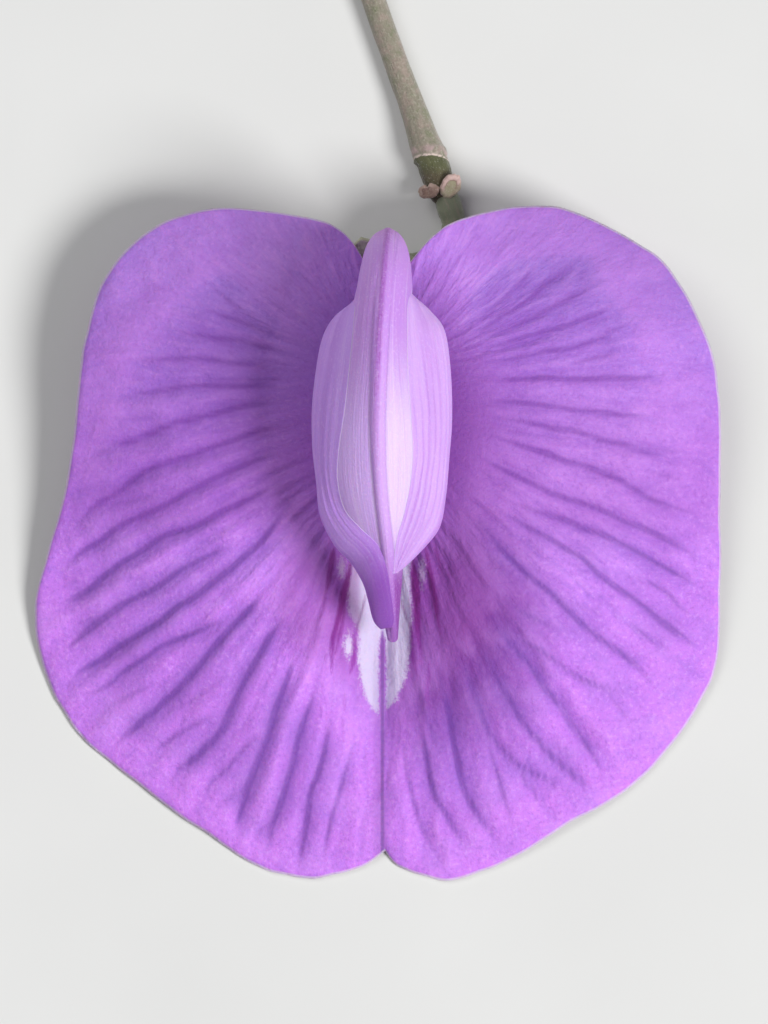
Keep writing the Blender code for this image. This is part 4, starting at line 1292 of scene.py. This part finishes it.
# %% Model the calyx and its leaflets
CALYX_LEAN = Euler((math.radians(22), math.radians(-15), 0))
CALYX_PLACE = Matrix.Translation((0.42, 7.25, -5.65)) @ CALYX_LEAN.to_matrix().to_4x4()
CALYX_PROFILE = ((0.0, 0.0), (0.75, 0.05), (1.45, 0.55), (1.95, 1.5), (2.15, 2.8))
CALYX_TEETH = ((99, 1.3, 55), (183, 1.2, 85), (255, 1.3, 70), (327, 1.3, 80), (22, 0.5, 88))
TOOTH_HALF_ANGLE = 33.0
TOOTH_ROOT = 0.15
TOOTH_CURL = 0.3
CUP_SHARE = 0.6
CALYX_NERVES = 20
CALYX_WALL = 0.2
BRACTEOLE_LINE = ((1.45, -0.15), (2.1, 0.45), (2.52, 1.3), (2.62, 2.35))
BRACTEOLE_NERVES = 11
BRACTEOLE_WALL = 0.14
NERVE_HEIGHTS = (0.022, 0.02)
MIDRIB = 0.10


def round_axis(radius, height, turn):
    return np.stack((radius * np.cos(turn), radius * np.sin(turn), height), axis=1)


def bend_calyx(around, rise):
    angle = 360.0 * around
    radius, height = through(CALYX_PROFILE, rise / CUP_SHARE).T
    length = np.full_like(around, TOOTH_ROOT)
    flare = np.zeros_like(around)
    for middle, tooth, lean in CALYX_TEETH:
        away = np.abs((angle - middle + 180.0) % 360.0 - 180.0) / TOOTH_HALF_ANGLE
        point = np.clip(1.0 - away, 0.0, 1.0)
        length += tooth * (0.65 * point + 0.35 * point**2)
        flare = np.maximum(flare, np.radians(lean) * soft_step(0.0, 0.3, point))
    share = np.clip((rise - CUP_SHARE) / (1.0 - CUP_SHARE), 0.0, 1.0)
    radius = radius + length * share * np.sin(flare) * np.minimum(share + TOOTH_CURL, 1.0)
    height = height + length * share * np.cos(flare)
    nerves = NERVE_HEIGHTS[0] * np.cos(np.radians(angle) * CALYX_NERVES) * soft_step(0.12, 0.35, rise)
    return round_axis(radius + nerves, height, np.radians(angle))


def bend_leaflet(middle):
    def bend(across, length):
        radius, height = through(BRACTEOLE_LINE, length).T
        half = 0.10 + 1.38 * np.sin(math.pi * np.clip(length, 0.0, 1.0) ** 0.7) ** 0.8
        turn = math.radians(middle) + (2.0 * across - 1.0) * half / radius
        nerves = np.cos(across * TURN * BRACTEOLE_NERVES) * soft_step(0.02, 0.2, length)
        nerves *= NERVE_HEIGHTS[1]
        keeled = MIDRIB * bell(across - 0.5, 0.05) * soft_step(0.0, 0.15, length)
        return round_axis(radius + nerves + keeled, height, turn)

    return bend


def green_finish(name, nerve_count, light, dark):
    recipe = Recipe(name)
    place = recipe.place()
    across = recipe.mark("across")
    length = recipe.mark("length")
    nerves = recipe.sum("COSINE", recipe.times(across, nerve_count * TURN))
    blotch = recipe.noise(place, 1.1, 3.0, 0.6)
    grain = recipe.noise(place, 8.0, 3.0, 0.6)
    hairs = recipe.streaks((across, 120.0), (length, 16.0))
    ground = recipe.layer(
        recipe.mix(blotch, light, dark),
        (recipe.step(0.3, 1.0, nerves), 0.45, paint(70, 88, 44)),
        (recipe.step(0.58, 0.76, length), 0.92, paint(222, 224, 204)),
        (recipe.step(0.45, 0.62, blotch), 0.25, paint(128, 98, 92)),
        (recipe.step(0.60, 0.75, hairs), 0.35, paint(186, 190, 160)),
    )
    normal = recipe.bump(recipe.plus(hairs, grain), 0.04)
    return recipe.finish(ground, recipe.scaled(grain, 0.2, 0.5), normal, **STALK_LIGHT)


green_rim = rim_finish("green rim", 5.0, paint(172, 178, 150), paint(178, 170, 152))
calyx_skin = green_finish("calyx skin", CALYX_NERVES, paint(146, 158, 106), paint(118, 132, 80))
calyx_shape = bend_grid(200, 64, bend_calyx)
bmesh.ops.transform(calyx_shape, matrix=CALYX_PLACE, verts=calyx_shape.verts)
settle("calyx_cup", calyx_shape, (calyx_skin, green_rim), "calyx", CALYX_WALL)
leaflet_skin = green_finish("leaflet skin", BRACTEOLE_NERVES, paint(134, 148, 84), paint(108, 122, 64))
for node, middle in (("bracteole_left", 150.0), ("bracteole_right", -20.0)):
    leaflet = bend_grid(96, 64, bend_leaflet(middle))
    outward = Vector((math.cos(math.radians(middle)), math.sin(math.radians(middle)), 0.0))
    look_towards(leaflet, outward)
    bmesh.ops.transform(leaflet, matrix=CALYX_PLACE, verts=leaflet.verts)
    settle(node + "_leaflet", leaflet, (leaflet_skin, green_rim), node, BRACTEOLE_WALL)

# %% [markdown]
# The stem and the flower's own stalk are round, but nothing that grows is a plain tube. A grid is
# bent round a smooth line whose radius changes, both ends are drawn in to close it, and the surface
# gets low ribs, knobs and, at the node, the ring where an older stalk broke off. The cut end is flat.

# %% Shape of the stem and the stalk
END_SHARE = 0.02
LINE_STEP = 0.004
PEDUNCLE = (
    (3.12, 11.05, 0.50, 0.72), (3.0, 11.4, 0.66, 0.76), (2.84, 12.0, 0.77, 0.84),
    (2.66, 12.55, 0.83, 0.90), (2.54, 12.95, 0.82, 0.92), (2.48, 13.10, 0.82, 0.94),
    (2.43, 13.24, 0.90, 0.95), (2.36, 13.42, 0.92, 0.94), (2.26, 13.65, 0.87, 0.90),
    (2.12, 14.0, 0.83, 0.86), (1.82, 14.9, 0.75, 0.77), (1.41, 16.1, 0.68, 0.70),
    (0.95, 17.3, 0.65, 0.67), (0.4, 18.8, 0.63, 0.65), (-0.52, 21.4, 0.62, 0.64),
    (-1.9, 25.5, 0.62, 0.64), (-2.9, 29.5, 0.61, 0.63), (-3.4, 33.5, 0.60, 0.62),
)
PEDICEL = (
    (0.60, 7.35, 0.42, 0.66), (1.05, 7.7, 0.5, 0.62), (2.0, 7.9, 0.52, 0.62), (3.05, 8.6, 0.55, 0.63),
    (3.6, 9.7, 0.6, 0.68), (3.42, 10.6, 0.68, 0.76), (3.22, 11.25, 0.62, 0.80),
)
RING_PLACE = 6 / (len(PEDUNCLE) - 1)
RING_WIDTH = 0.16
RING_DIP = 0.11
RING_SLANT = 0.12


# Points on a tube round a line, with the angle counted from the given way
def round_line(stations, around, along, grow, way):
    here = through(stations, along)
    ahead = (through(stations, along + LINE_STEP) - through(stations, along - LINE_STEP))[:, :3]
    ahead /= np.linalg.norm(ahead, axis=1)[:, None]
    first = np.asarray(way, float) - ahead * (ahead @ np.asarray(way, float))[:, None]
    first /= np.linalg.norm(first, axis=1)[:, None]
    second = np.cross(ahead, first)
    turn = around * TURN
    radius = (here[:, 3] * grow)[:, None]
    return here[:, :3] + radius * (first * np.cos(turn)[:, None] + second * np.sin(turn)[:, None])


# The share along the line without the two closed ends, and how far each end has opened
def end_shares(length):
    along = np.clip((length - END_SHARE) / (1.0 - 2.0 * END_SHARE), 0.0, 1.0)
    return along, np.clip(np.minimum(length, 1.0 - length) / END_SHARE, 0.0, 1.0)


def bend_stalk(stations, ribs, bow):
    lying = [(x, y, over_table(y, height), radius) for x, y, radius, height in stations]

    def bend(around, length):
        along, closing = end_shares(length)
        turn = around * TURN
        at_ring = bell(along - RING_PLACE, RING_WIDTH) * bow
        dip = RING_DIP * np.maximum(np.cos(turn), 0.0) ** 2 - RING_SLANT * np.sin(turn)
        along = along - at_ring * dip
        skin = 1.0 + ribs * (np.cos(7.0 * turn) + 0.6 * wander(along * 30.0 + around, 3.0, 51))
        skin += 0.02 * wander(around * 6.0, 2.0, 53) * wander(along * 60.0, 5.0, 52)
        return round_line(lying, around, along, skin * closing**0.8, (0.0, 0.0, 1.0))

    return bend


def mark_stalk(around, length, points):
    along, closing = end_shares(length)
    front = np.cos(around * TURN)
    return {"across": around, "length": along, "end": closing, "front": front, "height": points[:, 1]}


print("the stem spans", PEDUNCLE[-1][1] - PEDUNCLE[0][1], "mm and is", 2 * PEDUNCLE[-1][2], "mm thick")

# %% [markdown]
# The stem is older and woody above its ring, with pale fibres, pores and down, and green below it,
# with a pale torn lip between the two. The flower's own stalk is smooth and grey-green. The cut end
# shows moist pale tissue, so its colour follows how far the end has closed.

# %% Finish and build the stem and the stalk
SEAM_PLACE = 13.08
SEAM_BOW = 0.36


def stem_finish():
    recipe = Recipe("stem skin")
    place = recipe.place()
    across = recipe.mark("across")
    along = recipe.mark("height")
    turn = recipe.times(across, TURN)
    ring = recipe.vector(recipe.sum("COSINE", turn), recipe.sum("SINE", turn), recipe.times(along, 0.35))
    fibres = recipe.noise(ring, 5.0, 3.0, 0.6)
    blotch = recipe.noise(place, 1.5, 3.0, 0.65)
    pores = recipe.step(0.16, 0.04, recipe.cells(place, 2.2))
    grain = recipe.noise(place, 8.0, 3.0, 0.65)
    down = recipe.streaks((across, 60.0), (along, 7.0))
    end = recipe.mark("end")
    front = recipe.sum("MAXIMUM", recipe.mark("front"), 0.0)
    seam = recipe.plus(SEAM_PLACE, recipe.times(front, SEAM_BOW))
    waver = recipe.times(recipe.noise(place, 2.6, 3.0, centre=True), 0.16)
    over_seam = recipe.minus(along, recipe.plus(seam, waver))
    lip = recipe.times(
        recipe.step(-0.05, 0.01, over_seam), recipe.step(0.13, 0.03, over_seam),
        recipe.step(0.30, 0.46, recipe.noise(place, 3.4, 3.0)),
    )
    scar = recipe.times(recipe.step(0.10, 0.3, over_seam), recipe.step(0.75, 0.35, over_seam))
    below = recipe.step(0.0, -0.06, over_seam)
    green = recipe.mix(recipe.noise(place, 1.6, 2.0), paint(92, 96, 56), paint(66, 68, 46))
    ground = recipe.layer(
        recipe.mix(fibres, paint(116, 112, 96), paint(164, 156, 140)),
        (recipe.step(0.48, 0.62, blotch), 0.5, paint(168, 146, 138)),
        (recipe.step(0.46, 0.32, blotch), 0.45, paint(108, 120, 82)),
        (pores, 0.35, paint(110, 92, 78)),
        (recipe.step(0.52, 0.68, grain), 0.3, paint(206, 200, 184)),
        (below, 0.94, green),
        (below, recipe.step(12.95, 12.2, along), 0.6, paint(88, 72, 60)),
        (scar, recipe.step(0.40, 0.56, recipe.noise(place, 2.4, 3.0)), 0.7, paint(196, 168, 168)),
        (lip, 0.9, paint(226, 206, 196)),
        (recipe.step(0.60, 0.72, down), 0.35, paint(206, 204, 188)),
        (recipe.step(0.97, 0.80, end), 0.9, paint(196, 198, 150)),
        (recipe.step(0.35, 0.15, end), 0.8, paint(232, 232, 206)),
    )
    normal = recipe.bump(recipe.plus(fibres, recipe.times(grain, 0.7)), 0.09, 0.9)
    normal = recipe.bump(recipe.plus(down, recipe.times(lip, 0.8)), 0.05, 0.8, normal)
    return recipe.finish(ground, recipe.scaled(grain, 0.2, 0.6), normal, **STALK_LIGHT)


def stalk_finish():
    recipe = Recipe("stalk skin")
    place = recipe.place()
    across = recipe.mark("across")
    length = recipe.mark("length")
    stripes = recipe.streaks((across, 16.0), (length, 4.0), detail=3.0, roughness=0.6)
    grain = recipe.noise(place, 7.0, 3.0, 0.6)
    down = recipe.streaks((across, 60.0), (length, 30.0))
    ground = recipe.layer(
        recipe.mix(recipe.noise(place, 1.2, 2.0), paint(140, 146, 122), paint(112, 118, 98)),
        (recipe.step(0.50, 0.66, stripes), 0.35, paint(156, 138, 126)),
        (recipe.step(0.62, 0.74, down), 0.3, paint(176, 182, 158)),
        (recipe.step(0.55, 0.75, grain), 0.25, paint(146, 154, 118)),
    )
    normal = recipe.bump(recipe.plus(stripes, recipe.times(grain, 0.5)), 0.05, 0.8)
    return recipe.finish(ground, recipe.scaled(grain, 0.2, 0.45), normal, **STALK_LIGHT)


stem_skin = stem_finish()
stalk_skin = stalk_finish()
stem_shape = bend_grid(96, 420, bend_stalk(PEDUNCLE, 0.012, 1.0), mark_stalk)
settle("stem", stem_shape, (stem_skin,), "peduncle")
stalk_shape = bend_grid(64, 160, bend_stalk(PEDICEL, 0.010, 0.0), mark_stalk)
settle("flower_stalk", stalk_shape, (stalk_skin,), "pedicel")

# %% [markdown]
# At the node sit two scars, where a bract and an older flower's stalk came off. The right one is a
# tilted oval with a thick pale lip around a greenish hollow, the left one a brown two-lobed ear. A
# sphere is flattened, its top is dished and its outline is notched, which a plain ball could not show.

# %% Model the scars at the node
# Each scar: its piece and solid, place, height over the table, size, turns, notch and dish
SCAR_LOOKS = (
    (
        "left_scar", "bract_left", (2.30, 11.54), 1.50,
        (0.64, 0.40, 0.20), (0.0, -30.0, 12.0), 0.46, 0.10,
        (paint(178, 152, 140), paint(142, 116, 104), paint(110, 80, 76)),
    ),
    (
        "right_scar", "bract_right", (3.45, 11.80), 1.62,
        (0.52, 0.72, 0.30), (14.0, 14.0, -26.0), 0.04, 0.30,
        (paint(208, 178, 170), paint(172, 166, 136), paint(142, 106, 98)),
    ),
)
DISH_REACH = 0.62
NOTCH_WIDTH = 0.16


# A ball of radius 1 with a dished top and a notched, uneven outline
def scar_shape(notch, dish):
    ball = bmesh.new()
    bmesh.ops.create_uvsphere(ball, u_segments=72, v_segments=48, radius=1.0)
    out_layer = ball.verts.layers.float.new("out")
    upper_left_layer = ball.verts.layers.float.new("upper_left")
    for vert in ball.verts:
        out = math.hypot(vert.co.x, vert.co.y)
        turn = math.atan2(vert.co.y, vert.co.x)
        vert[out_layer] = out
        vert[upper_left_layer] = 0.8 * vert.co.y - 0.6 * vert.co.x
        hollow = dish * math.exp(-((out / DISH_REACH) ** 4)) * (vert.co.z > 0.0) * 2.2
        groove = notch * math.exp(-((vert.co.x / NOTCH_WIDTH) ** 2)) * (0.5 + 0.5 * vert.co.y)
        ripple = 1.0 + 0.035 * math.sin(5.0 * turn + 1.0) + 0.02 * math.sin(11.0 * turn)
        vert.co.x *= ripple
        vert.co.y *= ripple * (1.0 - groove)
        vert.co.z = vert.co.z * (1.0 - 0.6 * groove) - hollow
    return ball


def scar_finish(name, lip, floor, line):
    recipe = Recipe(name)
    place = recipe.place()
    out = recipe.mark("out")
    upper_left = recipe.step(-0.35, 0.25, recipe.mark("upper_left"))
    blotch = recipe.noise(place, 2.6, 3.0, 0.6)
    grain = recipe.noise(place, 9.0, 3.0, 0.65)
    waver = recipe.plus(out, recipe.times(blotch, 0.20))
    on_lip = recipe.times(recipe.step(0.56, 0.76, waver), recipe.scaled(upper_left, 0.8, 0.2))
    ground = recipe.layer(
        recipe.mix(on_lip, floor, lip),
        (recipe.step(0.08, 0.0, recipe.away(waver, 0.64)), upper_left, 0.7, line),
        (recipe.step(0.50, 0.65, blotch), 0.4, line),
        (recipe.step(0.52, 0.70, grain), 0.35, paint(226, 208, 200)),
    )
    normal = recipe.bump(recipe.plus(blotch, recipe.times(grain, 0.6)), 0.07)
    return recipe.finish(ground, 0.62, normal, **STALK_LIGHT)


for name, node, (x, y), height, size, turns, notch, dish, colours in SCAR_LOOKS:
    ball = scar_shape(notch, dish)
    turned = Euler([math.radians(turn) for turn in turns]).to_matrix().to_4x4()
    place = Matrix.Translation((x, y, over_table(y, height))) @ turned @ Matrix.Diagonal((*size, 1.0))
    bmesh.ops.transform(ball, matrix=place, verts=ball.verts)
    skin = scar_finish(name.replace("_", " ") + " skin", *colours)
    settle(name, ball, (skin,), node)

# %% [markdown]
# Inside the keel, out of sight, lie the parts that make seed: nine stamens joined into a trough, a
# tenth lying free over its slit, and the pistil in the trough. They follow the keel's arch. They are
# modelled as carefully as the rest, because a part is turned round and opened up by whoever uses it.

# %% Model the stamens and the pistil
CORE_LINE = (
    (0.25, 6.8, -4.3), (0.05, 6.45, -3.0), (0.05, 6.8, -1.0), (0.12, 7.25, 1.2), (0.1, 6.7, 3.0),
    (-0.1, 4.9, 4.2), (-0.35, 2.2, 4.8), (-0.45, -0.8, 4.8), (-0.35, -3.4, 4.45),
)
CORE_STATIONS = 41
SHEATH_RADIUS = 0.42
SHEATH_WALL = 0.12
SHEATH_OPEN = 50.0 / 360.0
THREADS = 9
FREE_OFFSET = 0.5
SIDEWAYS = (1.0, 0.0, 0.0)


# The core's line as stations of a tube, moved towards the slit and with a radius at each share
def core_stations(offset, radius_at):
    shares = np.linspace(0.0, 1.0, CORE_STATIONS)
    line = through(CORE_LINE, shares)
    ahead = np.gradient(line, axis=0)
    ahead /= np.linalg.norm(ahead, axis=1)[:, None]
    slit = np.cross(ahead, SIDEWAYS)
    moved = line + offset * slit / np.linalg.norm(slit, axis=1)[:, None]
    return np.column_stack((moved, radius_at(shares)))


def bend_sheath(around, length):
    stations = core_stations(0.0, lambda share: np.full_like(share, SHEATH_RADIUS))
    turn = 0.25 + SHEATH_OPEN + (1.0 - 2.0 * SHEATH_OPEN) * around
    threads = 1.0 + 0.035 * np.cos(around * THREADS * TURN)
    ends = 0.02 * np.abs(np.sin(around * THREADS * math.pi)) * soft_step(0.8, 1.0, length)
    return round_line(stations, turn, length * (0.98 + ends), threads, SIDEWAYS)


def bend_rod(offset, radius_at, lobes):
    stations = core_stations(offset, radius_at)

    def bend(around, length):
        along, closing = end_shares(length)
        skin = 1.0 + lobes * np.cos(2.0 * around * TURN) * soft_step(0.94, 0.97, along)
        skin += 0.03 * wander(along * 40.0, 5.0, 71)
        return round_line(stations, around, along, skin * closing**0.7, SIDEWAYS)

    return bend


def thread_finish(name, low, high, tip, ribs):
    recipe = Recipe(name)
    place = recipe.place()
    across = recipe.mark("across")
    length = recipe.mark("length")
    waves = recipe.sum("COSINE", recipe.times(across, ribs * TURN))
    grain = recipe.noise(place, 8.0, 3.0, 0.6)
    hairs = recipe.streaks((across, 70.0), (length, 30.0))
    ground = recipe.layer(
        recipe.mix(length, low, high),
        (recipe.step(0.0, -1.0, waves), 0.3, paint(150, 142, 96)),
        (recipe.step(0.55, 0.72, hairs), 0.3, paint(240, 236, 214)),
        (recipe.step(0.94, 0.97, length), 0.85, tip),
    )
    normal = recipe.bump(recipe.plus(grain, hairs), 0.03)
    return recipe.finish(ground, recipe.scaled(grain, 0.2, 0.42), normal, **PETAL_LIGHT)


def anther_end(share):
    return 0.075 + 0.03 * soft_step(0.93, 0.96, share)


def ovary_and_style(share):
    return 0.09 + 0.05 * bell(share - 0.3, 0.26) + 0.02 * soft_step(0.97, 0.99, share)


sheath_skin = thread_finish(
    "sheath skin", paint(206, 208, 170), paint(232, 226, 196), paint(222, 198, 120), THREADS,
)
free_skin = thread_finish(
    "free stamen skin", paint(214, 214, 180), paint(234, 228, 200), paint(226, 196, 96), 1,
)
pistil_skin = thread_finish(
    "pistil skin", paint(128, 150, 84), paint(176, 192, 120), paint(206, 212, 150), 2,
)
sheath_shape = bend_grid(108, 200, bend_sheath)
look_towards(sheath_shape, (0, -1, -1))
sheath_skins = (sheath_skin, petal_rim)
settle("joined_stamens", sheath_shape, sheath_skins, "staminal_sheath", SHEATH_WALL, 0.0)
free_shape = bend_grid(28, 260, bend_rod(FREE_OFFSET, anther_end, 0.2))
settle("free_stamen_thread", free_shape, (free_skin,), "free_stamen")
pistil_shape = bend_grid(36, 260, bend_rod(0.0, ovary_and_style, 0.0))
settle("seed_pistil", pistil_shape, (pistil_skin,), "pistil")

# %% [markdown]
# A wide pale sheet serves as table. It is a plane, which has no edge in view, with a faint paper
# grain so that it is not a dead even grey. The light is soft and comes from the lower right of the
# picture, half way up: low enough to show every furrow, high enough to leave no part of a lobe in the
# dark. A weaker lamp from the upper left opens the shadows.

# %% Table and light
TABLE_SIZE = 4.0


def table_finish():
    recipe = Recipe("pale table")
    grain = recipe.noise(recipe.add("TexCoord").outputs["Object"], 60.0, 3.0)
    paper = recipe.mix(grain, paint(216, 216, 214), paint(226, 226, 224))
    return recipe.finish(paper, 0.8, recipe.bump(grain, 0.1, 0.3))


table_shape = bmesh.new()
bmesh.ops.create_grid(table_shape, x_segments=1, y_segments=1, size=TABLE_SIZE / 2)
table = keep_mesh("table", table_shape, (table_finish(),))


def add_lamp(name, place, size, power):
    light = bpy.data.lights.new(name, "AREA")
    light.shape = "DISK"
    light.size = size
    light.energy = power
    lamp = bpy.data.objects.new(name, light)
    lamp.location = place
    lamp.rotation_euler = (-Vector(place)).to_track_quat("-Z", "Y").to_euler()
    bpy.context.scene.collection.objects.link(lamp)


add_lamp("window", (0.64, -0.38, 0.70), 0.42, 10.2)
add_lamp("sky", (-0.30, 0.25, 0.50), 0.50, 1.5)
world = bpy.data.worlds.new("studio")
world.use_nodes = True
world.node_tree.nodes["Background"].inputs["Color"].default_value = (0.93, 0.95, 1.0, 1.0)
world.node_tree.nodes["Background"].inputs["Strength"].default_value = 0.20
scene = bpy.context.scene
scene.world = world
scene.view_settings.view_transform = "Standard"

# %% [markdown]
# The camera looks straight into the flower's face, so it stands over the table, leaning with the
# face. It stands far off with a long lens, which keeps the petals' proportions flat and true.

# %% Camera
VIEW_HEIGHT = 53.6
VIEW_CENTRE = (-0.05, -5.33)
CAMERA_AWAY = 1500.0
SENSOR = 36.0
lens = bpy.data.cameras.new("camera")
lens.sensor_fit = "VERTICAL"
lens.sensor_height = SENSOR
lens.lens = SENSOR * CAMERA_AWAY / VIEW_HEIGHT
camera = bpy.data.objects.new("camera", lens)
stand = lying_in_mm @ Vector((*VIEW_CENTRE, CAMERA_AWAY))
camera.matrix_world = Matrix.Translation(stand * MM) @ Matrix.Rotation(TILT, 4, "X")
scene.collection.objects.link(camera)
scene.camera = camera
print("lens", round(lens.lens), "mm")
